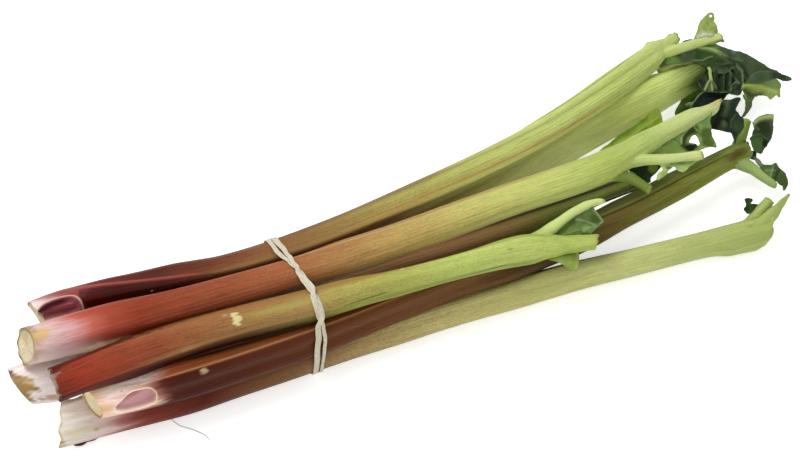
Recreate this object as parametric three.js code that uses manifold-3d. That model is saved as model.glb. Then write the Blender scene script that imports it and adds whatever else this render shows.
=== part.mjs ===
// A bunch of rhubarb stalks lying on a table: eight leaf stalks held by one twisted rubber band,
// each cut across at its pale base and again just under its leaf, where a few leaf scraps remain.
// Units are millimetres, +Z is up, and the bases point towards -X.

import * as THREE from 'three';
import { mergeVertices } from 'three/addons/utils/BufferGeometryUtils.js';
import Module from 'manifold-3d';

const wasm = await Module();
wasm.setup();

// ---------- Driving dimensions ----------

const SECTION_SIDES = 16;     // corners of a stalk's cross-section
const STATION_STEP = 20;      // length of stalk between two cross-sections
const DEPTH_SHARE = 0.84;     // a stalk's depth, as a share of its width
const FACE_SHARE = 0.4;       // the part of the depth on the flat, grooved side
const FACE_POWER = 0.55;      // lower is flatter: 1 would be a half ellipse
const GROOVE_SHARE = 0.05;    // depth of the groove, as a share of the width
const GROOVE_REACH = 0.22;    // how far the groove spreads either side, as a share of the width
const WIDTH_AT = [0, 0.14, 0.5, 0.88, 1];   // where along a stalk its widths are given

const PRONG_SIDES = 8;        // corners of a leaf vein's cross-section
const PRONG_STEPS = 4;        // stretches along a leaf vein
const SCOOP_SIDES = 16;       // corners around a sheath hollow
const SCOOP_BANDS = 10;       // and bands along it

const SCRAP_THICKNESS = 1.0;  // a leaf scrap's plain slab
const SCALE_THICKNESS = 1.2;  // the dry scale's plain slab

const BAND_X = -79;           // the rubber band's place along the bunch
const BAND_WIDTH = 6;         // both twisted strands together
const BAND_THICKNESS = 1.2;
const BAND_CLEARANCE = 0.45;  // gap between the band and the stalks under it
const BAND_STEPS = 56;

const TABLE_Z = -1.7;         // the table top: the routes' heights leave room for the band above it
const TABLE_SIZE = [600, 300, 20];   // the block of table that floor stalks are pressed flat by

const STALK_ROUGHNESS = 0.45;
const BAND_ROUGHNESS = 0.6;
const LEAF_ROUGHNESS = 0.7;
const LEAF_DARK = 0x2f4a2c;   // a leaf's upper side
const LEAF_PALE = 0x8fae5a;   // its underside, or a young blade with light through it
const BAND_COLOUR = 0xd9cdb4;
const SCALE_COLOUR = 0x3d2c22;

const MERGE_GAP = 1e-4;       // corners closer than this are one corner
const SEARCH_STEP = 1e-4;     // how finely a place along a route is found

// Every stalk: the route of its middle from base to leaf, its widths at WIDTH_AT, and the turn of
// its flat face from straight up towards -Y, at the base and at the leaf end. A prong is a leaf
// vein left on the end: its route starts inside the stalk. A scoop is the hollow of the sheath
// that wrapped the next stalk.
const STALKS = [
  {
    name: 'stalk_top_grooved',
    colour: 0x8a5a34,
    route: [[-216, 5, 43], [-125, -5, 41.5], [-73, -6, 41], [1, 3, 39], [85, 19, 36], [147, 39, 33],
      [196, 60, 32]],
    widths: [21, 20, 18.5, 16.5, 14],
    turn: [90, 165],
    prongs: [
      { route: [[188, 57, 32], [200, 61, 33], [208, 65, 34.5]], radii: [6, 5, 4.2] },
      { route: [[190, 57, 32], [211, 55, 34], [234, 54, 36]], radii: [4, 2.6, 2] },
    ],
    scoop: { centre: [-203, -6, 46], size: [24, 12, 13], yaw: -5 },
  },
  {
    name: 'stalk_top_broad',
    colour: 0xb55f45,
    route: [[-233, -21, 52], [-131, -25, 50], [-75, -28, 50], [-12, -28, 49], [51, -25, 48], [134, -21, 46]],
    widths: [24, 22.5, 19.5, 18.5, 17.5],
    turn: [218, 218],
    prongs: [
      { route: [[118, -21, 46], [158, -12, 46.5], [200, -4, 46]], radii: [7.5, 5.4, 4.6] },
      { route: [[122, -25, 46], [150, -28, 47], [174, -35, 48]], radii: [5, 2.6, 2.4] },
      { route: [[118, -26, 43], [130, -33, 42], [139, -41, 40]], radii: [4, 2.6, 2.2] },
    ],
  },
  {
    name: 'stalk_front_short',
    colour: 0xa04a30,
    route: [[-224, -51, 51], [-185, -48, 50], [-139, -46, 48], [-77, -50, 47], [25, -55, 44], [66, -60, 42]],
    widths: [19.5, 20.5, 17.5, 16.5, 18],
    turn: [218, 218],
    prongs: [
      { route: [[56, -59, 42], [76, -63, 42], [92, -68, 42]], radii: [6, 4.8, 4.2] },
      { route: [[60, -56, 43], [81, -47, 45], [105, -45, 46]], radii: [5, 3, 2.3] },
    ],
  },
  {
    name: 'stalk_front_grooved',
    colour: 0x7c3f2c,
    route: [[-207, -56, 31], [-168, -60, 30], [-79, -60, 28.5], [41, -49, 25], [123, -39.5, 19],
      [212, -20.5, 16.5]],
    widths: [19, 21, 19, 16, 14.5],
    turn: [84, 84],
    prongs: [
      { route: [[205, -24, 16], [217, -13, 18], [224, -3, 22]], radii: [5, 3.4, 2.4] },
      { route: [[206, -25, 14], [215, -36, 13], [219, -47, 12]], radii: [4, 2.6, 1.8] },
    ],
    scoop: { centre: [-179, -68, 31], size: [24, 9, 11], yaw: -5 },
  },
  {
    name: 'stalk_front_floor',
    colour: 0xa0503c,
    route: [[-223, -48, 8.4], [-168, -55, 9], [-77, -56, 9.2], [20, -57, 8], [99, -60.5, 7], [203, -71, 6.2]],
    widths: [25, 20, 17.5, 17.5, 20],
    turn: [-52, -52],
    prongs: [
      { route: [[190, -69, 7], [200, -64, 12], [206, -61, 16.5]], radii: [5, 3.6, 2.8] },
      { route: [[190, -71, 7], [208, -68, 10], [221, -63, 14.5]], radii: [6, 3.6, 1.2] },
    ],
  },
  {
    name: 'stalk_core',
    colour: 0xcfc08a,
    route: [[-240, -28, 30], [-120, -24, 25.5], [-10, -23, 21], [93, -21, 16], [146, -18, 12]],
    widths: [22.5, 20, 17.5, 16, 15],
    turn: [218, 218],
    prongs: [],
  },
  {
    name: 'stalk_back_middle',
    colour: 0x9aa353,
    route: [[-208, -6, 24.2], [-95, -4, 21.6], [-32, -1, 19], [27, 7, 17.5], [83, 18, 17], [141, 33, 17.5],
      [212, 43, 21]],
    widths: [19, 17, 17, 18.5, 17.5],
    turn: [218, 218],
    prongs: [
      { route: [[205, 41, 21], [219, 41, 26], [217, 29, 25]], radii: [4, 2, 1.4] },
    ],
  },
  {
    name: 'stalk_back_floor',
    colour: 0x8c8a3f,
    route: [[-208, 2, 7], [-92, 9, 9], [30, 27, 7.6], [96, 44, 6.4], [150, 61.5, 5.6], [206, 83, 4.8]],
    widths: [18, 16.5, 16, 15, 13.5],
    turn: [20, 20],
    prongs: [],
  },
];

// Leaf scraps left on the veins. Each is a flat slab whose outline is drawn from `at`, in a plane
// that faces `facing`, with its first axis as near to +X as the plane allows.
const SCRAPS = [
  {
    name: 'leaf_upright_flap',
    colour: LEAF_PALE,
    at: [226, 55, 38],
    facing: [-0.2, -0.7, 0.7],
    outline: [[-6, 2], [-1, 10.5], [6, 15], [8.5, 12], [8.5, 2], [4, 1], [-2, 1]],
  },
  {
    name: 'leaf_long_dark',
    colour: LEAF_DARK,
    at: [232, 46, 30],
    facing: [0, -0.35, 0.9],
    outline: [[-18.5, 5.5], [-12, 5.5], [2, 3], [15.5, -7], [28.5, -21], [28, -24], [21, -20.5], [13, -19.5],
      [6, -24], [7.5, -14.5], [4.5, -7.5], [-5, -2.5], [-15, -1.5], [-21, 0]],
  },
  {
    name: 'leaf_spur',
    colour: LEAF_DARK,
    at: [245, 21, 26],
    facing: [0.1, -0.3, 0.9],
    outline: [[-11.5, -3], [-5, 1.5], [1.5, 2], [9.5, -0.5], [16, -3.5], [19.5, -6.5], [14.5, -6.5],
      [5.5, -3], [-3, -2.5]],
  },
  {
    name: 'leaf_pale_fold',
    colour: LEAF_PALE,
    at: [244, 17, 19],
    facing: [0.2, -0.6, 0.8],
    outline: [[-10, 2.5], [-4, 3.5], [4.5, 2.5], [15, -0.5], [14.5, -4], [10, -8.5], [5, -8], [-2.5, -3.5]],
  },
  {
    name: 'leaf_hanging_bit',
    colour: LEAF_DARK,
    at: [235, 16, 14],
    facing: [-0.3, -0.7, 0.6],
    outline: [[-1, 6], [1.5, 2.5], [5.5, -0.5], [2, -5], [-2, -9.5], [-5.5, -9.5], [-2, -4.5], [-1.5, 1.5]],
  },
  {
    name: 'leaf_crumpled',
    colour: LEAF_DARK,
    at: [226, 33, 22],
    facing: [-0.1, -0.4, 0.9],
    outline: [[-5, 9.5], [1, 10], [9.5, 4.5], [12.5, -2.5], [10, -10], [5.5, -14], [3, -14.5], [1, -9],
      [-4.5, -7.5], [-5.5, -1]],
  },
  {
    name: 'leaf_low_flap',
    colour: LEAF_DARK,
    at: [213, 26, 12],
    facing: [-0.1, -0.5, 0.85],
    outline: [[-12.5, -4], [-13.5, 0.5], [-7.5, 1], [-1.5, 3.5], [5.5, 1.5], [14.5, -1], [19, -3], [14, -3.5],
      [7.5, -4.5], [-0.5, -3], [-5.5, -4]],
  },
  {
    name: 'leaf_dark_strip',
    colour: LEAF_DARK,
    at: [204, 30, 7],
    facing: [-0.2, -0.6, 0.8],
    outline: [[9, 7.5], [10.5, 4.5], [3.5, 1.5], [-3.5, -2], [-8, -5.5], [-9, -2], [-3, 2], [2, 5.5]],
  },
  {
    name: 'leaf_broad_tip',
    colour: LEAF_DARK,
    at: [207, -8, 38],
    facing: [0.1, -0.4, 0.9],
    outline: [[2, 8.5], [13.5, 7.5], [9, 2.5], [8.5, -5], [9.5, -9], [4.5, -13.5], [1, -17], [-2.5, -10],
      [-9.5, -6.5], [-12.5, -4.5], [-10, 0], [-3, 2.5]],
  },
  {
    name: 'leaf_broad_window',
    colour: LEAF_PALE,
    at: [163, -19, 41],
    facing: [0, -0.3, 0.95],
    outline: [[-9, -0.5], [0, 1.5], [12, 4.5], [18.5, 5.5], [29, 6.5], [29, 0.5], [25.5, -10], [18.5, -9],
      [18.5, -4], [17, 0.5], [11.5, -1.5], [11.5, -6], [4.5, -5], [-7, -1.5]],
  },
  {
    name: 'leaf_under_vein',
    colour: LEAF_PALE,
    at: [159, -33, 41],
    facing: [-0.1, -0.6, 0.8],
    outline: [[-11.5, 3], [-6, 2.5], [1, 1.5], [10.5, -1], [7, -4], [0.5, -4], [-4.5, -0.5], [-9.5, -4.5],
      [-14.5, -6], [-15.5, -3]],
  },
  {
    name: 'leaf_under_fork',
    colour: LEAF_DARK,
    at: [140, -26, 36],
    facing: [0, -0.5, 0.85],
    outline: [[-4.5, 4], [1.5, 3], [7.5, 0], [5.5, -3.5], [1.5, -7], [-1, -3]],
  },
  {
    name: 'leaf_bright_flat',
    colour: LEAF_PALE,
    at: [160, 9, 30],
    facing: [-0.1, -0.4, 0.9],
    outline: [[-25.5, -2.5], [-11.5, -1], [4, 1.5], [15, 4], [14, -3], [8, -4.5], [-2, -5], [-14.5, -5]],
  },
  {
    name: 'leaf_short_window',
    colour: LEAF_PALE,
    at: [91, -56, 44],
    facing: [0, -0.3, 0.95],
    outline: [[-13, -1.5], [-3.5, 3.5], [8, 6], [11.5, 3.5], [12, -1.5], [7, -4], [0.5, -4.5], [-6.5, -4]],
  },
  {
    name: 'leaf_short_low',
    colour: LEAF_PALE,
    at: [73, -69, 36],
    facing: [0.1, -0.5, 0.85],
    outline: [[-6, 2.5], [1, 2.5], [9, 1], [7, -4], [1.5, -6.5], [-5, -2.5]],
  },
  {
    name: 'leaf_grooved_top',
    colour: LEAF_DARK,
    at: [229, -16, 20],
    facing: [0.3, -0.5, 0.8],
    outline: [[-4.5, 5], [-1, 9.5], [5, 10], [13, 9.5], [10.5, 2.5], [3.5, -5.5], [-5.5, -11], [-10.5, -6.5],
      [-10.5, -1], [-5.5, 1]],
  },
  {
    name: 'leaf_grooved_small',
    colour: LEAF_DARK,
    at: [222, -21, 12],
    facing: [0.2, -0.7, 0.7],
    outline: [[-1.5, 4.5], [3.5, -1], [1, -5.5], [-3, -4.5], [-3.5, -1]],
  },
  {
    name: 'leaf_grooved_low',
    colour: LEAF_DARK,
    at: [225, -44, 12],
    facing: [0.1, -0.4, 0.9],
    outline: [[-3.5, 6.5], [2, 7], [5.5, 2], [6, -4.5], [3, -8.5], [0.5, -9], [1, -5], [-2, -1.5], [-4, 3]],
  },
  {
    name: 'leaf_floor_small',
    colour: LEAF_DARK,
    at: [197, -57, 15],
    facing: [-0.1, -0.7, 0.7],
    outline: [[-1.5, 5.5], [2.5, 5], [0.5, 1], [4.5, 1], [3, -2.5], [-3, -5], [-2.5, -1.5], [-4, 1]],
  },
];

// A dry brown bud scale caught under the base of the lowest stalk.
const DRY_SCALE = {
  name: 'dry_scale',
  colour: SCALE_COLOUR,
  at: [-212, -62, -0.9],
  facing: [0, 0, 1],
  outline: [[-8, 0], [-4, 3.5], [7, 2.5], [8, 0.5], [2, -2.5], [-5, -3]],
};

// ---------- Helpers ----------

function material(colour, roughness) {
  return new THREE.MeshStandardMaterial({ color: colour, roughness, metalness: 0 });
}

function toSolid(geometry) {
  const bare = geometry.clone();
  bare.deleteAttribute('normal');
  bare.deleteAttribute('uv');
  const merged = mergeVertices(bare, MERGE_GAP);
  return new wasm.Manifold(new wasm.Mesh({
    numProp: 3,
    vertProperties: new Float32Array(merged.attributes.position.array),
    triVerts: new Uint32Array(merged.index.array),
  }));
}

function toGeometry(solid) {
  const mesh = solid.getMesh();
  const geometry = new THREE.BufferGeometry();
  geometry.setAttribute('position', new THREE.BufferAttribute(mesh.vertProperties, 3));
  geometry.setIndex(new THREE.BufferAttribute(mesh.triVerts, 1));
  geometry.computeVertexNormals();
  return geometry;
}

function smoothRoute(points) {
  return new THREE.CatmullRomCurve3(points.map((p) => new THREE.Vector3(...p)), false, 'centripetal');
}

// Reads a value off a list given at set places, with a smooth step between neighbours.
function valueAt(places, values, place) {
  let i = 1;
  while (i < places.length - 1 && place > places[i]) i += 1;
  const share = THREE.MathUtils.clamp((place - places[i - 1]) / (places[i] - places[i - 1]), 0, 1);
  const eased = THREE.MathUtils.smoothstep(share, 0, 1);
  return THREE.MathUtils.lerp(values[i - 1], values[i], eased);
}

// Walls between neighbouring rings of corners. A loop joins its last ring to its first.
function wallIndex(rings, isLoop) {
  const sides = rings[0].length;
  const index = [];
  for (let r = 0; r < rings.length - (isLoop ? 0 : 1); r += 1) {
    const here = r * sides;
    const next = ((r + 1) % rings.length) * sides;
    for (let i = 0; i < sides; i += 1) {
      const j = (i + 1) % sides;
      index.push(here + i, next + j, here + j, here + i, next + i, next + j);
    }
  }
  return index;
}

function skinGeometry(corners, index) {
  const geometry = new THREE.BufferGeometry();
  const positions = corners.flatMap((corner) => corner.toArray());
  geometry.setAttribute('position', new THREE.Float32BufferAttribute(positions, 3));
  geometry.setIndex(index);
  geometry.computeVertexNormals();
  return geometry;
}

function loopSkin(rings) {
  return skinGeometry(rings.flat(), wallIndex(rings, true));
}

// A skin over a row of rings, closed by a fan of triangles at each end.
function skinOver(rings) {
  const sides = rings[0].length;
  const corners = rings.flat();
  const index = wallIndex(rings, false);
  [0, rings.length - 1].forEach((r) => {
    const hub = corners.length;
    const middle = new THREE.Vector3();
    rings[r].forEach((corner) => middle.addScaledVector(corner, 1 / sides));
    corners.push(middle);
    for (let i = 0; i < sides; i += 1) {
      const a = r * sides + i;
      const b = r * sides + ((i + 1) % sides);
      index.push(hub, ...(r === 0 ? [a, b] : [b, a]));
    }
  });
  return skinGeometry(corners, index);
}

// A frame across a route: `face` is +Z turned about the route towards -Y, `side` completes it.
function acrossRoute(tangent, turnDegrees) {
  const side = new THREE.Vector3().crossVectors(tangent, new THREE.Vector3(0, 0, 1)).normalize();
  const face = new THREE.Vector3().crossVectors(side, tangent).normalize();
  const turn = new THREE.Quaternion().setFromAxisAngle(tangent, THREE.MathUtils.degToRad(turnDegrees));
  return { side: side.applyQuaternion(turn), face: face.applyQuaternion(turn) };
}

// ---------- Stalks ----------

// Rounded back, flatter face, and a shallow groove along the middle of the face.
function sectionCorner(angle, width) {
  const depth = width * DEPTH_SHARE;
  const across = Math.cos(angle) * width / 2;
  const lift = Math.sin(angle);
  if (lift <= 0) return [across, lift * depth * (1 - FACE_SHARE)];
  const groove = width * GROOVE_SHARE * Math.exp(-((across / (width * GROOVE_REACH)) ** 2));
  return [across, lift ** FACE_POWER * depth * FACE_SHARE - groove];
}

function sectionRing(curve, place, widths, turn) {
  const middle = curve.getPointAt(place);
  const { side, face } = acrossRoute(curve.getTangentAt(place), THREE.MathUtils.lerp(...turn, place));
  const width = valueAt(WIDTH_AT, widths, place);
  const ring = [];
  for (let i = 0; i < SECTION_SIDES; i += 1) {
    const [across, lift] = sectionCorner((i / SECTION_SIDES) * 2 * Math.PI, width);
    ring.push(middle.clone().addScaledVector(side, across).addScaledVector(face, lift));
  }
  return ring;
}

function stalkSkin({ route, widths, turn }) {
  const curve = smoothRoute(route);
  const count = Math.round(curve.getLength() / STATION_STEP);
  const rings = [];
  for (let s = 0; s <= count; s += 1) rings.push(sectionRing(curve, s / count, widths, turn));
  return skinOver(rings);
}

function prongSkin({ route, radii }) {
  const curve = smoothRoute(route);
  const places = radii.map((_, i) => i / (radii.length - 1));
  const rings = [];
  for (let s = 0; s <= PRONG_STEPS; s += 1) {
    const place = s / PRONG_STEPS;
    const middle = curve.getPointAt(place);
    const { side, face } = acrossRoute(curve.getTangentAt(place), 0);
    const radius = valueAt(places, radii, place);
    const ring = [];
    for (let i = 0; i < PRONG_SIDES; i += 1) {
      const angle = (i / PRONG_SIDES) * 2 * Math.PI;
      ring.push(middle.clone()
        .addScaledVector(side, Math.cos(angle) * radius)
        .addScaledVector(face, Math.sin(angle) * radius));
    }
    rings.push(ring);
  }
  return skinOver(rings);
}

// An egg-shaped cutter for the hollow of a sheath.
function scoopCutter({ centre, size, yaw }) {
  const egg = new THREE.SphereGeometry(0.5, SCOOP_SIDES, SCOOP_BANDS);
  egg.scale(...size);
  egg.rotateZ(THREE.MathUtils.degToRad(yaw));
  egg.translate(...centre);
  return toSolid(egg);
}

// Everything below the table top, which a stalk that lies on it is pressed flat against.
function belowTable() {
  const slab = new THREE.BoxGeometry(...TABLE_SIZE);
  slab.translate(0, 0, TABLE_Z - TABLE_SIZE[2] / 2);
  return toSolid(slab);
}

function stalkMesh(stalk) {
  let solid = toSolid(stalkSkin(stalk));
  stalk.prongs.forEach((prong) => {
    solid = solid.add(toSolid(prongSkin(prong)));
  });
  if (stalk.scoop) solid = solid.subtract(scoopCutter(stalk.scoop));
  solid = solid.subtract(belowTable());
  const mesh = new THREE.Mesh(toGeometry(solid), material(stalk.colour, STALK_ROUGHNESS));
  mesh.name = stalk.name;
  return mesh;
}

// ---------- Rubber band ----------

// The corners of every stalk's cross-section near the band, as points across the bunch.
function cornersNear(x) {
  const corners = [];
  STALKS.forEach(({ route, widths, turn }) => {
    const curve = smoothRoute(route);
    let low = 0;
    let high = 1;
    while (high - low > SEARCH_STEP) {
      const half = (low + high) / 2;
      if (curve.getPointAt(half).x < x) low = half;
      else high = half;
    }
    const ring = sectionRing(curve, low, widths, turn);
    ring.forEach((corner) => corners.push(new THREE.Vector2(corner.y, corner.z)));
  });
  return corners;
}

// A flat loop pulled tight around the stalks: each point is the corner that lies furthest out in
// its direction, moved out by the clearance.
function bandMesh() {
  const edges = [BAND_X - BAND_WIDTH / 2, BAND_X + BAND_WIDTH / 2];
  const corners = edges.flatMap(cornersNear);
  const rings = [];
  for (let k = 0; k < BAND_STEPS; k += 1) {
    const angle = (k / BAND_STEPS) * 2 * Math.PI;
    const out = new THREE.Vector2(Math.cos(angle), Math.sin(angle));
    const reach = corners.reduce((best, corner) => (corner.dot(out) > best.dot(out) ? corner : best));
    const [inner, outer] = [BAND_CLEARANCE, BAND_CLEARANCE + BAND_THICKNESS]
      .map((offset) => reach.clone().addScaledVector(out, offset));
    rings.push([
      new THREE.Vector3(edges[0], inner.x, inner.y),
      new THREE.Vector3(edges[0], outer.x, outer.y),
      new THREE.Vector3(edges[1], outer.x, outer.y),
      new THREE.Vector3(edges[1], inner.x, inner.y),
    ]);
  }
  const mesh = new THREE.Mesh(loopSkin(rings), material(BAND_COLOUR, BAND_ROUGHNESS));
  mesh.name = 'rubber_band';
  return mesh;
}

// ---------- Leaf scraps ----------

function slabMesh({ name, colour, at, facing, outline }, thickness) {
  const shape = new THREE.Shape(outline.map(([x, y]) => new THREE.Vector2(x, y)));
  const slab = new THREE.ExtrudeGeometry(shape, { depth: thickness, bevelEnabled: false });
  slab.translate(0, 0, -thickness / 2);
  const normal = new THREE.Vector3(...facing).normalize();
  const along = new THREE.Vector3(1, 0, 0).addScaledVector(normal, -normal.x).normalize();
  const mesh = new THREE.Mesh(slab, material(colour, LEAF_ROUGHNESS));
  const basis = new THREE.Matrix4().makeBasis(along, normal.clone().cross(along), normal);
  mesh.setRotationFromMatrix(basis);
  mesh.position.set(...at);
  mesh.name = name;
  return mesh;
}

// ---------- The bunch ----------

const bunch = new THREE.Group();
STALKS.forEach((stalk) => bunch.add(stalkMesh(stalk)));
bunch.add(bandMesh());
SCRAPS.forEach((scrap) => bunch.add(slabMesh(scrap, SCRAP_THICKNESS)));
bunch.add(slabMesh(DRY_SCALE, SCALE_THICKNESS));

// The origin is the middle of the bunch's footprint on the table.
bunch.updateMatrixWorld(true);
const extent = new THREE.Box3().setFromObject(bunch);
const middle = extent.getCenter(new THREE.Vector3());
bunch.position.set(-middle.x, -middle.y, -TABLE_Z);

export default bunch;
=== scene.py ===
# %% [markdown]
# # A bunch of rhubarb stalks
#
# Eight leaf stalks lie on a table, held by one twisted rubber band. Each was cut across at its pale
# base and again just under its leaf, where forked veins and a few leaf scraps are left. The
# plain model of the bunch is loaded first. It sets the frame and the overall box, and it is never
# changed: each piece made below stands in for one of its plain pieces, except the root hair,
# which is too fine to be one of them. The lines, widths and places of the pieces are not read
# from that model: they are written out again below, in millimetres, in its frame.

# %% Load the plain model
import math

import bpy
import numpy as np
import mathutils
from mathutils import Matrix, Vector
from mathutils.kdtree import KDTree


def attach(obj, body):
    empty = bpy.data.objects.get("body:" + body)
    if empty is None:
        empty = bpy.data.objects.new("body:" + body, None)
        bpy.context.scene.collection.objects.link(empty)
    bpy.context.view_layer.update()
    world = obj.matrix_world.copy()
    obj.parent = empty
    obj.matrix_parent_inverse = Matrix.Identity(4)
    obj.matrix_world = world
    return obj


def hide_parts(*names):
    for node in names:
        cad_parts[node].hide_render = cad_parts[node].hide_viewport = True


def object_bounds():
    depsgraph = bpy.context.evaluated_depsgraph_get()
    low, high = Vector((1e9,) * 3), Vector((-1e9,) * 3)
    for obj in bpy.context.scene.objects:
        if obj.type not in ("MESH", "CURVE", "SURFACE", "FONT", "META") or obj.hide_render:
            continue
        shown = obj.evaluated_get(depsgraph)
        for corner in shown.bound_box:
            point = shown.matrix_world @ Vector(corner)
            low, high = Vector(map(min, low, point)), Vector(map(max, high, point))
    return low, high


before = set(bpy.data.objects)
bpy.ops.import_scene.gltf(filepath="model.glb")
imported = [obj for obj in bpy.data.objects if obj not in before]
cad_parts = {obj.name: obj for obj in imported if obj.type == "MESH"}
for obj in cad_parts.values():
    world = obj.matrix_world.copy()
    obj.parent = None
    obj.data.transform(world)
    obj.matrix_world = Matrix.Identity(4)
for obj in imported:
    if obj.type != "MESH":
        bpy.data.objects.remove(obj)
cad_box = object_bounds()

MM = 0.001
low, high = cad_box
print("bunch, in mm:", [round((b - a) / MM) for a, b in zip(low, high)])

# %% [markdown]
# ## The camera
#
# The bunch lies down, so the camera looks down on it at 50 degrees, from a little to the left of
# square on, and from far enough away that the stalks hardly taper with distance.

# %% Camera
CAMERA_AZIMUTH = math.radians(-23)
CAMERA_ELEVATION = math.radians(50)
CAMERA_DISTANCE = 1.5
LENS_MM = 116.4
AIM_ALONG = -12 * MM          # from the middle of the bunch to where the camera aims
AIM_ACROSS = -4.2 * MM
AIM_HEIGHT = 21.7 * MM        # above the table

middle = (low + high) / 2
target = Vector((middle.x + AIM_ALONG, middle.y + AIM_ACROSS, low.z + AIM_HEIGHT))
level = Vector((-math.sin(CAMERA_AZIMUTH), math.cos(CAMERA_AZIMUTH), 0))
looking = level * math.cos(CAMERA_ELEVATION) - Vector((0, 0, math.sin(CAMERA_ELEVATION)))
camera_data = bpy.data.cameras.new("camera")
camera_data.lens = LENS_MM
camera = bpy.data.objects.new("camera", camera_data)
camera.location = target - looking * CAMERA_DISTANCE
camera.rotation_euler = looking.to_track_quat("-Z", "Y").to_euler()
bpy.context.scene.collection.objects.link(camera)
bpy.context.scene.camera = camera

# %% [markdown]
# ## The table and the light
#
# A plain pale floor lies under the bunch and catches its soft shadow. Rhubarb skin is smooth and
# slightly waxy, so it needs one broad lamp to draw a soft bright line along each stalk, and light
# from all round so that the gaps between stalks stay readable.

# %% Floor and light
FLOOR_SIZE = 6.0
KEY_POWER = 17.0
FILL_POWER = 8.0
SKY_STRENGTH = 0.5
KEY_PLACE = (-0.5, 0.5, 1.5)
KEY_SIZE = 0.9
FILL_PLACE = (-0.3, -1.6, 1.0)
FILL_SIZE = 1.2
FLOOR_GLOW = 0.55            # only for what looks at the floor: it whitens it and lights nothing


def colour(text, alpha=1.0):
    """A colour written as on a web page, in the linear values that Blender mixes."""
    parts = [int(text[i:i + 2], 16) / 255 for i in (1, 3, 5)]
    linear = [p / 12.92 if p <= 0.04045 else ((p + 0.055) / 1.055) ** 2.4 for p in parts]
    return (*linear, alpha)


def deselect_all():
    if bpy.context.object and bpy.context.object.mode != "OBJECT":
        bpy.ops.object.mode_set(mode="OBJECT")
    bpy.ops.object.select_all(action="DESELECT")


deselect_all()
bpy.ops.mesh.primitive_plane_add(size=FLOOR_SIZE, location=(0, 0, low.z - 0.1 * MM))
floor = bpy.context.object
floor.name = "table_top"
floor_paint = bpy.data.materials.new("pale_table")
floor_paint.use_nodes = True
nodes_of_floor = floor_paint.node_tree.nodes
floor_shader = nodes_of_floor["Principled BSDF"]
floor_shader.inputs["Base Color"].default_value = colour("#f4f4f2")
floor_shader.inputs["Roughness"].default_value = 0.9
floor_shader.inputs["Specular IOR Level"].default_value = 0.1
floor_shader.inputs["Emission Color"].default_value = (1, 1, 1, 1)
seen = nodes_of_floor.new("ShaderNodeLightPath")
seen_or_mirrored = nodes_of_floor.new("ShaderNodeMath")
seen_or_mirrored.operation = "MAXIMUM"
glow = nodes_of_floor.new("ShaderNodeMath")
glow.operation = "MULTIPLY"
glow.inputs[1].default_value = FLOOR_GLOW
floor_links = floor_paint.node_tree.links
floor_links.new(seen.outputs["Is Camera Ray"], seen_or_mirrored.inputs[0])
floor_links.new(seen.outputs["Is Glossy Ray"], seen_or_mirrored.inputs[1])
floor_links.new(seen_or_mirrored.outputs[0], glow.inputs[0])
floor_links.new(glow.outputs[0], floor_shader.inputs["Emission Strength"])
floor.data.materials.append(floor_paint)


def soft_lamp(name, place, size, power):
    """A square lamp that faces the bunch."""
    data = bpy.data.lights.new(name, "AREA")
    data.size = size
    data.energy = power
    lamp = bpy.data.objects.new(name, data)
    lamp.location = place
    aim = target - Vector(place)
    lamp.rotation_euler = aim.to_track_quat("-Z", "Y").to_euler()
    bpy.context.scene.collection.objects.link(lamp)
    return lamp


soft_lamp("key_lamp", KEY_PLACE, KEY_SIZE, KEY_POWER)
soft_lamp("fill_lamp", FILL_PLACE, FILL_SIZE, FILL_POWER)
world = bpy.data.worlds.new("studio")
world.use_nodes = True
world.node_tree.nodes["Background"].inputs["Color"].default_value = (1, 1, 1, 1)
world.node_tree.nodes["Background"].inputs["Strength"].default_value = SKY_STRENGTH
bpy.context.scene.world = world
bpy.context.scene.view_settings.view_transform = "Standard"
print("lamps:", KEY_POWER, FILL_POWER, "sky:", SKY_STRENGTH)

# %% [markdown]
# ## How a stalk is built
#
# A rhubarb stalk is a long stem with a rounded, ribbed back and a flatter, grooved face. It could be
# a cylinder bent by a curve modifier, but then its face, its swollen base and the hollow of its
# sheath would be hard to place. Here a flat grid is rolled up instead: its columns become places
# along the stalk and its rows go round it. The two long edges meet and are merged, and the first
# and last columns shrink to a point, which closes the cut ends.

# %% The line a stalk follows
SAMPLES_PER_SPAN = 40
END_RUN = 30 * MM            # how far a line goes on straight past each end


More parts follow.
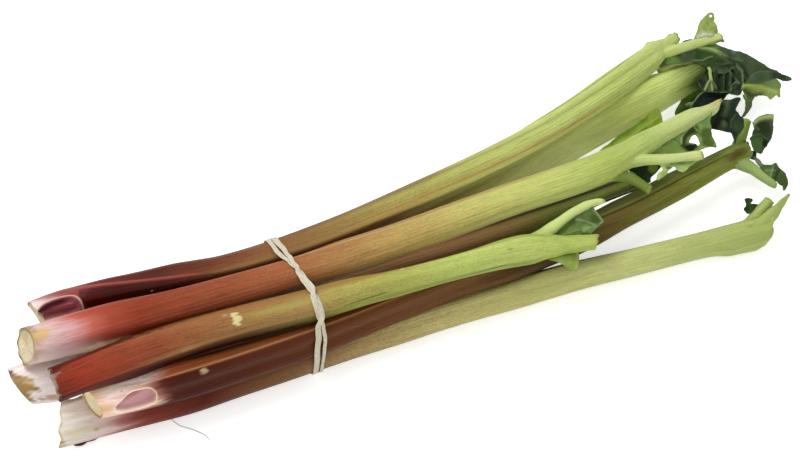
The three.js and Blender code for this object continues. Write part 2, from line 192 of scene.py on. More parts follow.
class Line:
    """A smooth line through a few points, with its length, place and direction at any distance."""

    def __init__(self, points):
        points = np.array(points, float) * MM
        ends = [2 * points[0] - points[1], *points, 2 * points[-1] - points[-2]]
        chords = [np.linalg.norm(b - a) for a, b in zip(ends, ends[1:])]
        knots = np.concatenate([[0], np.cumsum(np.sqrt(chords))])
        parts = [self.span(ends[i:i + 4], knots[i:i + 4]) for i in range(len(points) - 1)]
        dense = np.vstack([*parts, points[-1:]])
        first = dense[0] - END_RUN * self.unit(dense[1] - dense[0])
        last = dense[-1] + END_RUN * self.unit(dense[-1] - dense[-2])
        self.points = np.vstack([first, dense, last])
        steps = np.linalg.norm(np.diff(self.points, axis=0), axis=1)
        self.distance = np.concatenate([[0], np.cumsum(steps)]) - END_RUN
        self.length = self.distance[-2]

    @staticmethod
    def unit(vector):
        return vector / np.linalg.norm(vector, axis=-1, keepdims=True)

    @staticmethod
    def span(corner, knot):
        """The stretch between the middle two of four points, as a centripetal spline."""
        t = np.linspace(knot[1], knot[2], SAMPLES_PER_SPAN, endpoint=False)[:, None]

        def between(i, j, start, end):
            return (knot[j] - t) / (knot[j] - knot[i]) * start + (t - knot[i]) / (knot[j] - knot[i]) * end

        first, second, third = (between(i, i + 1, corner[i], corner[i + 1]) for i in range(3))
        return between(1, 2, between(0, 2, first, second), between(1, 3, second, third))

    def place(self, distance):
        return np.stack([np.interp(distance, self.distance, axis) for axis in self.points.T], -1)

    def direction(self, distance):
        reach = 2 * MM
        return self.unit(self.place(distance + reach) - self.place(distance - reach))


# %% The outline of a stalk
DEPTH_SHARE = 0.84           # depth of a stalk, as a share of its width
FACE_SHARE = 0.4             # the part of that depth on the flatter face
FACE_POWER = 0.55            # how square the face's shoulders are: 1 would be round
ROUND_DEPTH = 0.92           # depth of a leaf vein, as a share of its width
AROUND = 192                 # points round a stalk
OUTLINE_POINTS = 4001        # points that the outline is first measured with
RIPPLE_WAVES = 10            # waves that add up to one random ripple


def outline(count, lift_of):
    """Evenly spaced points round a stalk one unit wide, and the directions that face out of them."""
    angle = np.linspace(0, 2 * np.pi, OUTLINE_POINTS)
    dense = np.stack([np.cos(angle) / 2, lift_of(np.sin(angle))], -1)
    reach = np.concatenate([[0], np.cumsum(np.linalg.norm(np.diff(dense, axis=0), axis=1))])
    even = np.linspace(0, reach[-1], count + 1)
    points = np.stack([np.interp(even, reach, axis) for axis in dense.T], -1)
    along = np.roll(points[:-1], -1, 0) - np.roll(points[:-1], 1, 0)
    along = Line.unit(np.vstack([along, along[:1]]))
    return points, np.stack([along[:, 1], -along[:, 0]], -1)


def stalk_lift(sine):
    face = np.maximum(sine, 0) ** FACE_POWER * DEPTH_SHARE * FACE_SHARE
    return np.where(sine > 0, face, sine * DEPTH_SHARE * (1 - FACE_SHARE))


def vein_lift(sine):
    return sine * ROUND_DEPTH / 2


def step(value, start, end):
    """Goes smoothly from 0 at start to 1 at end, and works backwards too."""
    share = np.clip((value - start) / (end - start), 0, 1)
    return share * share * (3 - 2 * share)


def bump(value, centre, reach):
    """1 at the centre, falling smoothly to almost nothing at twice the reach."""
    return np.exp(-((value - centre) / reach) ** 2)


def turn_gap(bearing, centre):
    """Degrees from one bearing round the stalk to another, the short way."""
    return (bearing - centre + 180) % 360 - 180


def ripple(seed, along, around, wavelength, lobes):
    """A random gentle height, from about -1 to 1, that joins up with itself round the stalk."""
    rng = np.random.default_rng(seed)
    total = 0
    for _ in range(RIPPLE_WAVES):
        wave = rng.uniform(0.3, 1) / wavelength * rng.choice([-1, 1])
        turns = rng.integers(0, lobes + 1)
        total = total + np.sin(2 * np.pi * (wave * along + turns * around + rng.uniform()))
    return total / 4


RIBS = 30                    # ribs round a stalk
RIB_SWAY = 0.012             # how unevenly they are spaced, as a share of a turn


def ribs(seed, along, around):
    """Height of the skin's ribs, from 0 in the valleys to 1 on the strongest."""
    rng = np.random.default_rng(seed)
    sway = RIB_SWAY * ripple(seed + 1, along, around, 0.5, 3)
    place = ((around + sway) % 1) * RIBS
    number = np.floor(place).astype(int) % RIBS
    strength = rng.uniform(0.35, 1, RIBS)[number]
    across = place - np.floor(place)
    return strength * (1 - np.abs(2 * across - 1) ** 2.2)


# %% Rolling a grid up into a tube
SAME_PLACE = 0.0005 * MM      # corners closer than this are merged


def read_corners(piece):
    flat = np.empty(len(piece.data.vertices) * 3)
    piece.data.vertices.foreach_get("co", flat)
    return flat.reshape(-1, 3)


def write_corners(piece, corners):
    piece.data.vertices.foreach_set("co", np.ascontiguousarray(corners, float).ravel())
    piece.data.update()


def write_attribute(piece, name, values):
    """Stores a number or a colour on every corner, for the materials to read."""
    values = np.asarray(values, float)
    kind = {1: "FLOAT", 3: "FLOAT_VECTOR", 4: "FLOAT_COLOR"}[1 if values.ndim == 1 else values.shape[-1]]
    attribute = piece.data.attributes.new(name, kind, "POINT")
    field = {"FLOAT": "value", "FLOAT_VECTOR": "vector", "FLOAT_COLOR": "color"}[kind]
    attribute.data.foreach_set(field, values.astype(np.float32).ravel())


def paper_grid(name, columns, rows):
    """A flat grid, with the column and row number of each of its corners."""
    deselect_all()
    bpy.ops.mesh.primitive_grid_add(x_subdivisions=columns, y_subdivisions=rows, size=2)
    piece = bpy.context.object
    piece.name = name
    piece.data.name = name
    corners = read_corners(piece)
    column = np.rint((corners[:, 0] + 1) / 2 * columns).astype(int)
    row = np.rint((corners[:, 1] + 1) / 2 * rows).astype(int)
    return piece, column, row


def close_tube():
    """Merges the seam and the closed ends of the tube just made, and turns its faces outwards."""
    bpy.ops.object.mode_set(mode="EDIT")
    bpy.ops.mesh.select_all(action="SELECT")
    bpy.ops.mesh.remove_doubles(threshold=SAME_PLACE)
    bpy.ops.mesh.normals_make_consistent(inside=False)
    bpy.ops.object.mode_set(mode="OBJECT")
    bpy.ops.object.shade_smooth()


# %% [markdown]
# ## Where the skin is swollen, hollow or marked
#
# The base of a leaf stalk wraps the next stalk as a sheath, so on two of them the cut shows a
# hollow with a pale lip, and painted shade darkens one side of its floor. Dried cuts, bruises and
# scars are laid on in the same way, and so is painted shade: dark lines and bands along edges, gaps
# and creases that lie in shade, and a dark patch on an end in shadow. Each is given by its distance
# from the base in millimetres and its bearing round the stalk in degrees: 90 is the middle of the
# face, 270 the middle of the rounded back.

# %% Stations along a stalk
CAP_RINGS = 12
MIDDLE_STEP = 2.5 * MM
FINE_STEP = 0.6 * MM


def stations(length, fine):
    """Distances along a stalk, close together in the fine stretches and wider between them."""
    places = [0.0]
    while places[-1] < length - 0.6 * FINE_STEP:
        here = places[-1]
        near = any(start * MM <= here <= end * MM for start, end in fine)
        places.append(min(length, here + (FINE_STEP if near else MIDDLE_STEP)))
    places[-1] = length
    return np.array(places)


def cap_shares():
    """How far out each ring of a cut end lies: close together at its rim, where the edge is."""
    share = np.linspace(1, 0, CAP_RINGS + 1)[1:]
    return 1 - (1 - share) ** 1.6


def value_at(places, values, place):
    """Reads a value off a list given at set places, with a smooth step between neighbours."""
    result = np.full(np.shape(place), float(values[0]))
    for start, end, a, b in zip(places, places[1:], values, values[1:]):
        result = np.where(place >= start, a + (b - a) * step(place, start, end), result)
    return result


def grow(name, spec, seed):
    """Makes one stalk or leaf vein from its line, its widths and its list of details."""
    line = Line(spec["line"])
    length = line.length
    body = stations(length, spec["fine"])
    share = cap_shares()
    ring = np.concatenate([np.zeros(CAP_RINGS), body, np.full(CAP_RINGS, length)])
    spread = np.concatenate([share[::-1], np.ones(len(body)), share])
    around_count = spec.get("around", AROUND)
    piece, column, row = paper_grid(name, len(ring) - 1, around_count)

    stem, stem_out = outline(around_count, stalk_lift)
    vein, vein_out = outline(around_count, vein_lift)
    bearing_of = np.degrees(np.arctan2(stem[:, 1], stem[:, 0])) % 360
    s = ring[column]
    rho = spread[column]
    around = row / around_count
    bearing = bearing_of[row]

    roundness = step(s, *(x * MM for x in spec["rounds_off"]))[:, None]
    flat = stem[row] * (1 - roundness) + vein[row] * roundness
    out = Line.unit(stem_out[row] * (1 - roundness) + vein_out[row] * roundness)
    width = value_at(*zip(*spec["widths"]), s / MM) * MM

    rib = ribs(seed, s, around)
    rib_height = spec["rib_height"] * step(s / MM, *spec["ribs_from"])
    raised = rib_height * (rib - 0.5) + spec["wobble"] * ripple(seed + 2, s, around, 0.06, 4)
    groove = spec["groove"] * bump(flat[:, 0], 0, 0.2) * (flat[:, 1] > 0)
    raised = raised - groove * width / MM * (1 - roundness[:, 0])
    paint = np.zeros((len(s), 4))
    for detail in spec["details"]:
        raised = raised + detail(s / MM, bearing, around, paint, rib)

    is_base, is_tip = column < CAP_RINGS, column >= len(ring) - CAP_RINGS
    slant = {}
    for key, sign, end in (("base_cut", 1, 0.0), ("tip_cut", -1, length)):
        cut = spec[key]
        lean = cut["slant"] * np.cos(np.radians(bearing - cut["towards"]))
        ragged = cut["ragged"] * ripple(seed + 5, np.zeros(len(s)), around, 1, cut.get("teeth", 9))
        reach = lean + ragged
        fade = step(np.abs(s - end) / MM, cut["fade"], 0)
        dish = np.where(is_base if sign > 0 else is_tip, cut["dish"] * (1 - rho ** 2), 0)
        fibres = 0.25 * ripple(seed + 6, rho * 0.01, around, 0.004, 14) * (1 - rho) * (rho > 0)
        capped = is_base if sign > 0 else is_tip
        inner = lean * rho + ragged * rho ** 3 + sign * (dish + fibres)
        slant[key] = np.where(capped, inner, reach * fade) * MM
    s_placed = s + slant["base_cut"] + slant["tip_cut"]

    centre = line.place(s_placed)
    ahead = line.direction(np.clip(s_placed, 0, length))
    sideways = Line.unit(np.cross(ahead, (0, 0, 1)))
    twist = spec["turn"][1] - spec["turn"][0]
    turn = np.radians(spec["turn"][0] + twist * np.clip(s / length, 0, 1))[:, None]
    side = sideways * np.cos(turn) + np.cross(ahead, sideways) * np.sin(turn)
    face = np.cross(side, ahead)
    offset = flat * width[:, None] * rho[:, None] + out * (raised * MM * rho)[:, None]
    corners = centre + side * offset[:, :1] + face * offset[:, 1:]
    if spec.get("on_table"):
        corners[:, 2] = np.maximum(corners[:, 2], low.z)
    write_corners(piece, corners)

    cut_face = np.where(is_base | is_tip, step(rho, 1.0, 0.97), 0)
    grain = np.stack([s / 12, offset[:, 0] / np.maximum(rho, 0.02), offset[:, 1] / np.maximum(rho, 0.02)], -1)
    grain[:, 0] += seed * 0.37
    write_attribute(piece, "along", s + spec.get("joins_at", 0) * MM)
    write_attribute(piece, "bearing", bearing / 360)
    write_attribute(piece, "grain", grain)
    write_attribute(piece, "crest", rib * step(s / MM, *spec["ribs_from"]))
    write_attribute(piece, "cut_face", cut_face)
    write_attribute(piece, "heart", 1 - rho)
    write_attribute(piece, "paint", paint)
    write_attribute(piece, "strip", np.clip(spec["strip"](s / MM, bearing), 0, 1))
    close_tube()
    return piece, line


# %% Details that a stalk can carry
def lay_paint(paint, tone, amount):
    """Lays a colour over what is already painted, like a thin coat."""
    amount = np.clip(amount, 0, 1)[:, None]
    alpha = paint[:, 3:] * (1 - amount) + amount
    under = paint[:, :3] * paint[:, 3:] * (1 - amount)
    paint[:, :3] = (under + np.array(colour(tone)[:3]) * amount) / np.maximum(alpha, 1e-6)
    paint[:, 3:] = alpha


def mark(tone, at, size, strength=1.0, height=0.0, rough=0.35, edge=0.5, seed=1):
    """A soft-edged spot of colour, which may also stand up or sink in, in millimetres."""
    def lay(s, bearing, around, paint, rib):
        gap = np.hypot((s - at[0]) / size[0], turn_gap(bearing, at[1]) / size[1])
        gap = gap + rough * ripple(seed, s * MM, around, 0.006, 26)
        amount = step(gap, 1 + edge, 1 - edge)
        lay_paint(paint, tone, strength * amount)
        return height * amount
    return lay


def ridge(at, reach, height, start, end, fade=20.0, drift=0.0, tone=None, strength=0.0):
    """A long ridge, or with a height below zero a crease, at a bearing round the stalk."""
    def lay(s, bearing, around, paint, rib):
        here = at + drift * (s - start) / max(end - start, 1)
        amount = bump(turn_gap(bearing, here), 0, reach)
        amount = amount * step(s, start - fade / 2, start + fade / 2)
        amount = amount * step(s, end + fade / 2, end - fade / 2)
        if tone:
            lay_paint(paint, tone, strength * amount)
        return height * amount
    return lay


LIP_AT = 1.05                # where the lip of a hollow runs, as a share of its size
LIP_REACH = 0.038
LIP_HEIGHT = 0.35


def hollow(start, end, low_side, high_side, depth, inside, lip, skew=0.0, seed=3, painted_shade=None):
    """The hollow of a sheath: a pocket between two bearings, with a thin pale lip round it. A painted shade
    tone, if given, darkens one side of its floor as the shadow under the lip.
    """
    def lay(s, bearing, around, paint, rib):
        across_share = turn_gap(bearing, (low_side + high_side) / 2) / ((high_side - low_side) / 2)
        begins = start + skew * np.clip(across_share, -1, 1)
        along_share = (s - (begins + end) / 2) / ((end - begins) / 2)
        reach = (np.abs(along_share) ** 3.2 + np.abs(across_share) ** 3.2) ** (1 / 3.2)
        reach = reach + 0.04 * ripple(seed, s * MM, around, 0.02, 6)
        rim = bump(reach, LIP_AT, LIP_REACH)
        within = step(reach, 1.0, 0.92)
        lay_paint(paint, inside, 0.95 * within)
        # Painted shade: the shadow that the lip casts over one side of the floor.
        if painted_shade:
            lay_paint(paint, painted_shade, 0.9 * within * step(across_share - 1.4 * along_share, -0.1, 1.0))
        lay_paint(paint, lip, 0.9 * rim)
        return LIP_HEIGHT * rim - depth * step(reach, 1.0, 0.84)
    return lay


# %% The eight stalks
PLAIN = {
    "turn": (218, 218),
    "fine": [(0, 70)],
    "rounds_off": (2000, 2001),
    "rib_height": 0.18,
    "ribs_from": (25, 75),
    "wobble": 0.25,
    "groove": 0.05,
    "details": [],
    "strip": lambda s, b: 0 * s,
    "base_cut": {"slant": 2, "towards": 180, "ragged": 0.5, "fade": 14, "dish": 1.0},
    "tip_cut": {"slant": 1, "towards": 90, "ragged": 0.6, "fade": 10, "dish": 0.8},
}

# Not all of these numbers were chosen by hand. Most points of the lines equal, or lie within 2 mm
# of, what a fitting program outside this file printed. Many places of details were read off with
# another.
STALKS = {
    "stalk_top_grooved": {
        "line": [(-228, 0.8, 44.7), (-137, -9.2, 43.2), (-85, -10.2, 42.7), (-11, -1.2, 40.7),
                 (73, 14.8, 37.7), (135, 34.8, 34.7), (181, 54, 33.9), (197.6, 61.5, 36.4)],
        "widths": [(0, 21), (58, 20), (208, 18.5), (366, 17), (402, 16.8), (415, 16.4), (424, 13),
                   (433, 9.5)],
        "turn": (90, 165),
        "rounds_off": (400, 430),
        "groove": 0.09,
        "base_cut": {"slant": 4, "towards": 60, "ragged": 0.4, "fade": 16, "dish": 0.6},
        "tip_cut": {"slant": 1.0, "towards": 270, "ragged": 0.6, "fade": 16, "dish": 0.8},
        # The strip is the lower face, from the ridge down to the stalk below. Its near-black red is partly
        # the face's own dark maroon and partly painted shade.
        "strip": lambda s, b: (
            step(b, np.maximum(215 - 0.45 * s, 169), np.maximum(205 - 0.45 * s, 159))
            * step(b, 70, 100) * step(s, 22, 26) * step(s, 260, 170)),
        "details": [
            ridge(250, 60, -4.4, -60, 5, 26),
            ridge(228, 42, 2.2, 30, 92, 34),
            mark("#f0e0dc", (-3, 182), (13, 26), 0.9, rough=0.2, edge=0.7),
            mark("#8c3c40", (15, 204), (12, 18), 0.7, edge=0.8),
            # The hollow's darkest tone is painted shade under its lip.
            hollow(-3, 24, 96, 182, 3.6, "#a0545c", "#f0ccb0", skew=9, painted_shade="#4c141c"),
            ridge(206, 5, 0.8, 18, 90, 14, drift=-33, tone="#a85448", strength=0.8),
            # Painted shade: a darker band along the upper edge, where the rounded back turns away from the
            # light.
            ridge(258, 34, 0, 30, 250, 40, tone="#5c2018", strength=0.55),
            ridge(132, 34, 2.2, 80, 340, 80),
            ridge(166, 11, 0.8, 104, 240, 44, drift=-8, tone="#947040", strength=0.6),
            ridge(178, 9, 0, 200, 370, 60, tone="#b07444", strength=0.45),
            ridge(160, 8, 0.5, 235, 410, 60, tone="#b8bc60", strength=0.5),
            ridge(145, 14, -0.6, 26, 420, 16),
            ridge(240, 8, 0, 150, 420, 60, tone="#6c6840", strength=0.45),
            ridge(307, 34, 3.8, 419, 423, 9),
            ridge(307, 36, -3.0, 431, 440, 6),
            mark("#f0e4dc", (74, 176), (0.7, 3), 0.9, 0.2, rough=0.3, seed=41),
            mark("#e8d8d0", (64, 150), (0.5, 2), 0.9, 0.2, rough=0.3, seed=42),
        ],
        "veins": [
            {"line": [(176, 52.8, 34.5), (198.4, 51, 36.8), (223.3, 48.9, 38.5)],
             "widths": [(0, 9.5), (12, 7.4), (24, 6.2), (46, 4.8)], "joins_at": 405},
        ],
    },
    "stalk_top_broad": {
        "line": [(-242, -25.2, 53.7), (-143, -29.2, 51.7), (-87, -32.2, 51.7), (-24, -32.2, 50.7),
                 (39, -29.2, 49.7), (108, -25.6, 47.9), (146, -16.8, 48.2), (190, -7.8, 47.6)],
        "widths": [(0, 20.4), (16, 22), (51, 22.5), (184, 19.5), (323, 18.8), (350, 18.5), (372, 15.5),
                   (396, 11.5), (436, 9.2)],
        "rounds_off": (355, 395),
        "base_cut": {"slant": 4.4, "towards": 290, "ragged": 0.6, "fade": 16, "dish": 0.5},
        "tip_cut": {"slant": 4.6, "towards": 0, "ragged": 0.5, "fade": 16, "dish": 0.8},
        "details": [
            mark("#d8b070", (6, 296), (8, 18), 0.75, rough=0.3, edge=0.7, seed=4),
            mark("#98865c", (0, 350), (4, 34), 0.75, 0.5, seed=15),
            mark("#7c5a20", (0.5, 214), (2.5, 20), 0.85, seed=5),
            ridge(10, 38, -2.8, 72, 165, 50),
            ridge(186, 30, -1.6, 44, 74, 26),
            ridge(205, 13, 1.7, 26, 62, 22),
            ridge(343, 11, 0, 140, 320, 60, tone="#8c5838", strength=0.55),
            ridge(329, 3.5, -0.2, 150, 330, 60, tone="#c4b068", strength=0.5),
            # Painted shade: a dark line along the lower edge, in the gap above the stalk beneath.
            ridge(184, 9, 0, 80, 350, 60, tone="#2c1c10", strength=0.75),
            ridge(0, 40, -4.2, 424, 450, 16),
            ridge(206, 30, 0, -20, 34, 26, tone="#fbeee6", strength=0.6),
            mark("#ffeac0", (38, 208), (14, 12), 0.95, rough=0.2, edge=0.7, seed=43),
            mark("#fbf8a8", (54, 196), (13, 10), 0.95, rough=0.2, edge=0.7, seed=44),
            mark("#c8a45c", (433, 300), (4, 20), 0.8, rough=0.5, seed=45),
        ],
        "veins": [
            {"line": [(108, -26.6, 47), (124.9, -28, 47.7), (141, -34.4, 48.5), (162.7, -41.3, 49.7)],
             "widths": [(0, 11), (14, 8.4), (28, 6.2), (46, 5.2), (54, 5.8), (58, 5.2)], "joins_at": 372},
            {"line": [(104, -28.2, 45.2), (117.6, -34.8, 44), (126.5, -46.5, 41.5)],
             "widths": [(0, 9), (10, 7.4), (18, 6.2), (29, 5.4)], "joins_at": 365,
             "details": [ridge(0, 400, 0, 6, 99, 10, tone="#66782e", strength=0.95)]},
        ],
    },
    "stalk_front_short": {
        "line": [(-236, -55.2, 52.7), (-197, -52.2, 51.7), (-151, -50.2, 49.7), (-89, -54.2, 48.7),
                 (13, -59.2, 45.7), (50, -63.8, 43.9), (80, -72.2, 43.7)],
        "widths": [(0, 19.5), (41, 20.5), (145, 17.5), (255, 16.8), (278, 17.5), (292, 13.5), (302, 10.2),
                   (318, 8.6)],
        "rounds_off": (275, 300),
        "base_cut": {"slant": 1.5, "towards": 90, "ragged": 0.6, "fade": 12, "dish": 1.2},
        "tip_cut": {"slant": 1.5, "towards": 0, "ragged": 0.4, "fade": 10, "dish": 0.8},
        "strip": lambda s, b: step(np.abs(turn_gap(b, 276)), 36, 62),
        "fine": [(0, 60), (98, 116)],
        "details": [
            mark("#9c8c7c", (0, 270), (1.2, 80), 0.8, rough=0.5, seed=6),
            mark("#988472", (2.2, 300), (2.2, 9), 0.6, 0.3, rough=0.5, seed=18),
            mark("#54101c", (2.6, 322), (3.0, 12), 0.8, -0.3, rough=0.4, seed=19),
            mark("#241010", (0.5, 205), (2.6, 18), 0.85, rough=0.5, seed=20),
            mark("#dcd69a", (106, 285), (2.5, 24), 0.9, 0.4, rough=0.4, edge=0.35, seed=7),
            mark("#a87f5c", (76, 233), (6, 7), 0.7, 0.2, seed=8),
            mark("#a8804c", (118, 328), (52, 15), 0.6, rough=0.25, edge=0.8, seed=21),
            mark("#c8b49c", (100, 308), (1.6, 4), 0.6, 0.2, rough=0.8, seed=22),
            ridge(176, 30, 2.0, 32, 165, 40),
            ridge(0, 40, -4.2, 190, 250, 50),
            ridge(212, 12, 0, 180, 280, 30, tone="#6c7a34", strength=0.5),
            ridge(283, 15, 0, 112, 165, 34, tone="#b4a85c", strength=0.6),
            ridge(322, 13, 0, 50, 210, 50, tone="#9c6038", strength=0.5),
            ridge(232, 10, 0, 50, 130, 40, tone="#a07c4c", strength=0.5),
            # Painted shade: the lower side near black, over the dark gap above the stalk below.
            ridge(189, 23, -0.8, 40, 155, 44, tone="#1c0a06", strength=0.9),
            ridge(200, 3, -0.5, 232, 262, 12, drift=20, tone="#40581e", strength=0.85),
            ridge(193, 5, 0, 234, 264, 12, drift=20, tone="#aab47c", strength=0.6),
            ridge(230, 3, -0.5, 166, 192, 10, drift=4, tone="#46601e", strength=0.8),
            mark("#f2f0cc", (204, 316), (0.7, 3), 0.9, 0.2, rough=0.4, seed=48),
            mark("#f2f0cc", (259, 306), (0.7, 3), 0.9, 0.2, rough=0.4, seed=49),
            mark("#94643c", (206, 306), (1.0, 2.5), 0.7, rough=0.4, seed=50),
            mark("#8a6c34", (266, 284), (1.1, 3), 0.7, rough=0.4, seed=51),
        ],
        "veins": [
            {"line": [(44, -60.6, 44.3), (61.1, -54, 45.2), (75.7, -49.5, 46.5), (90.1, -48.1, 47.5),
                      (95.6, -49.3, 47.7)],
             "widths": [(0, 11), (14, 7.6), (28, 5.8), (42, 5.4), (50, 3.6), (56, 1.8)], "joins_at": 285,
             "details": [ridge(0, 400, 0, 12, 99, 16, tone="#d6e698", strength=0.7)]},
        ],
    },
    "stalk_front_grooved": {
        "line": [(-217.5, -60.4, 32.7), (-180, -64.2, 31.7), (-91, -64.2, 30.2), (29, -53.2, 26.7),
                 (111, -43.7, 20.7), (200, -24.7, 18.2), (204.4, -23.6, 18.1)],
        "widths": [(0, 19), (59, 21), (210, 19), (370, 16), (416, 14.5), (424, 12.5), (428, 8)],
        "turn": (84, 84),
        "rounds_off": (400, 424),
        "groove": 0.08,
        "base_cut": {"slant": 4.2, "towards": 78, "ragged": 0.5, "fade": 13, "dish": 2.2},
        "strip": lambda s, b: step(np.abs(turn_gap(b, 80)), 88, 80),
        "details": [
            ridge(220, 30, 2.8, 30, 165, 40),
            mark("#e2c08c", (4, 186), (7, 12), 0.5, rough=0.4, edge=0.8, seed=23),
            mark("#d8b088", (6, 82), (4, 20), 0.6, rough=0.4, edge=0.7, seed=24),
            mark("#f4e4c4", (25, 57), (11, 12), 0.8, rough=0.2, edge=0.7, seed=25),
            # The hollow's darker tone is painted shade under its lip.
            hollow(13.5, 34, 50, 150, 3.2, "#bc8c90", "#f4e0c0", skew=4.5, painted_shade="#9c6468"),
            mark("#8c5c4c", (16, 158), (0.5, 2), 0.9, rough=0.3, seed=26),
            mark("#7c4c44", (26, 164), (0.5, 2), 0.9, rough=0.3, seed=27),
            mark("#8c5c4c", (28, 158), (0.4, 2), 0.9, rough=0.3, seed=28),
            ridge(167, 4, 0.6, 30, 210, 50, tone="#b07c54", strength=0.8),
            ridge(168, 4, -0.5, 200, 410, 40, tone="#34300f", strength=0.6),
            ridge(177, 4, 0.4, 230, 410, 40, tone="#84844a", strength=0.5),
            ridge(46, 40, 4.0, 235, 315, 50),
            mark("#452c14", (415, 150), (7, 22), 0.75, rough=0.3, edge=0.8, seed=46),
            # Painted shade: a near-black line along the upper side, in the gap under the stalk above.
            ridge(206, 7, -0.6, 50, 150, 40, drift=-20, tone="#16141a", strength=0.95),
            ridge(184, 13, 0, 60, 240, 40, tone="#6c3814", strength=0.6),
            ridge(220, 40, 2.0, 318, 384, 30),
            ridge(110, 25, -0.5, 40, 410, 20),
            mark("#b89878", (62, 151), (2.4, 7), 0.9, 0.4, rough=0.3, seed=9),
        ],
        "veins": [
            {"line": [(193, -28.2, 17.7), (203, -17.8, 18.8), (208.6, -11.6, 20.6), (213.2, -7, 23.6)],
             "widths": [(0, 11), (10, 8.5), (20, 6.6), (32, 5.4)], "joins_at": 412,
             "details": [ridge(0, 400, 0, -10, 99, 1, tone="#86a446", strength=0.85)]},
            {"line": [(193.5, -26.6, 15.8), (198.2, -31.4, 15.8), (202.2, -37.6, 15.4), (205.4, -45, 14.5),
                      (209.2, -52.3, 13.5)],
             "widths": [(0, 9), (8, 8.4), (16, 6.4), (26, 5), (33, 3)], "joins_at": 412,
             "details": [ridge(0, 400, 0, -10, 99, 1, tone="#9ab06c", strength=0.85)]},
        ],
    },
    "stalk_front_floor": {
        "line": [(-235, -52.2, 10.1), (-180, -59.2, 10.7), (-89, -60.2, 10.9), (8, -62, 10.1),
                 (87, -65.4, 9.4), (191, -74.5, 8.6)],
        "widths": [(0, 25), (60, 20), (213, 18.6), (376, 19.4), (405, 20), (427, 21)],
        "strip": lambda s, b: step(b, 48, 62) * step(b, 140, 120) * step(s, 150, 230),
        "turn": (-52, -52),
        "on_table": True,
        "base_cut": {"slant": 3.3, "towards": 117, "ragged": 0.9, "fade": 14, "dish": 1.0},
        "tip_cut": {"slant": 5, "towards": 60, "ragged": 0.6, "fade": 14, "dish": 1.4},
        "details": [
            ridge(85, 42, 4.6, -60, 36, 40),
            ridge(88, 30, 3.2, -60, 8, 18),
            ridge(262, 40, -1.6, -60, 60, 50),
            ridge(86, 34, 2.2, 190, 330, 60),
            ridge(88, 32, 6.0, 14, 44, 20),
            mark("#c8ac70", (-0.5, 0), (1.3, 90), 0.8, rough=0.4, seed=11),
            mark("#8c6c2c", (0, 285), (3, 26), 0.85, rough=0.5, seed=29),
            mark("#d8c890", (9, 340), (8, 8), 0.55, rough=0.6, edge=0.8, seed=30),
            mark("#b89a54", (18.5, 335), (1.5, 4), 0.8, rough=0.3, seed=31),
            ridge(285, 40, 2.2, 396, 424, 14),
            # Painted shade, with a shallow dent: the crease where the right prong leaves the stalk.
            mark("#5c6c2c", (419, 13), (5, 5), 0.6, -0.5, rough=0.2, edge=0.7, seed=52),
        ],
        "veins": [
            {"line": [(184, -71, 9), (191.2, -67.2, 12.6), (195.4, -65.2, 15), (198.8, -63.6, 17)],
             "widths": [(0, 11), (10, 8.6), (18, 6.4), (26, 5.6)], "joins_at": 412},
            {"line": [(172, -77, 9.5), (184, -77, 13.6), (195.8, -73.6, 17), (204.6, -68.8, 17.8),
                      (211, -64.9, 17.6)],
             "widths": [(0, 12), (14, 10), (24, 7.6), (34, 4.2), (42, 1.6)], "joins_at": 412,
             # Painted shade in the crease at the root of this prong.
             "details": [ridge(22, 26, -0.6, 4, 20, 8, tone="#62722c", strength=0.8)]},
        ],
    },
    "stalk_core": {
        "line": [(-250, -32.2, 31.7), (-132, -28.2, 27.2), (-22, -27.2, 22.7), (81, -24.4, 18.2),
                 (134, -19.4, 14.8)],
        "widths": [(0, 22.5), (54, 20), (193, 17.5), (340, 16), (387, 15)],
        "base_cut": {"slant": 4.8, "towards": 137, "ragged": 0.5, "fade": 18, "dish": -1.6},
        "details": [
            # Painted shade: a near-black line along the upper edge, where the stalk above shades it.
            ridge(312, 15, 0, 130, 387, 60, tone="#140e0a", strength=0.92),
            ridge(188, 52, -6.0, 345, 420, 40),
            ridge(266, 24, 0, 180, 300, 50, tone="#d0a876", strength=0.75),
            mark("#8c6c24", (1, 265), (5.5, 42), 0.9, rough=0.5, seed=12),
            mark("#b48a38", (5, 268), (3, 18), 0.6, rough=0.4, seed=16),
            mark("#3c2c10", (-1, 318), (2.4, 16), 0.85, seed=17),
            ridge(188, 36, 4.6, 6, 64, 36),
            mark("#fbf6ee", (48, 340), (14, 30), 0.9, rough=0.2, seed=32),
            mark("#e8e48c", (70, 330), (12, 30), 0.9, rough=0.2, seed=33),
            mark("#a07048", (12, 210), (6, 9), 0.7, rough=0.6, seed=13),
        ],
    },
    "stalk_back_middle": {
        "line": [(-220, -10.2, 25.9), (-107, -8.2, 23.3), (-44, -5.2, 20.7), (15, 2.8, 19.2),
                 (71, 13.8, 18.7), (129, 28.8, 19.2), (200, 38.8, 22.7), (205, 39.2, 22.9)],
        "widths": [(0, 19), (60, 17), (214, 17), (377, 18.5), (433, 17.5)],
        "tip_cut": {"slant": 4.5, "towards": 350, "ragged": 0.5, "fade": 16, "dish": 0.8},
        "details": [
            ridge(350, 46, 4.6, 345, 398, 44),
            ridge(185, 45, 3.4, 300, 405, 60),
            # Painted shade: the end lies in shadow, so a broad dark patch covers it.
            mark("#33401a", (435, 275), (17, 90), 0.9, rough=0.15, edge=0.95, seed=47),
            ridge(352, 6, 0.5, 375, 440, 24, tone="#b4c878", strength=0.8),
        ],
        "veins": [
            {"line": [(182, 45.6, 25.5), (190.6, 48, 28), (199, 44.4, 29.4), (207.1, 38.1, 30),
                      (208.4, 33.9, 30.5), (206.9, 30, 30.5), (205.2, 25.7, 30.5)],
             "widths": [(0, 9), (8, 6), (18, 4.2), (26, 2.8), (34, 2.2), (44, 2)], "joins_at": 390,
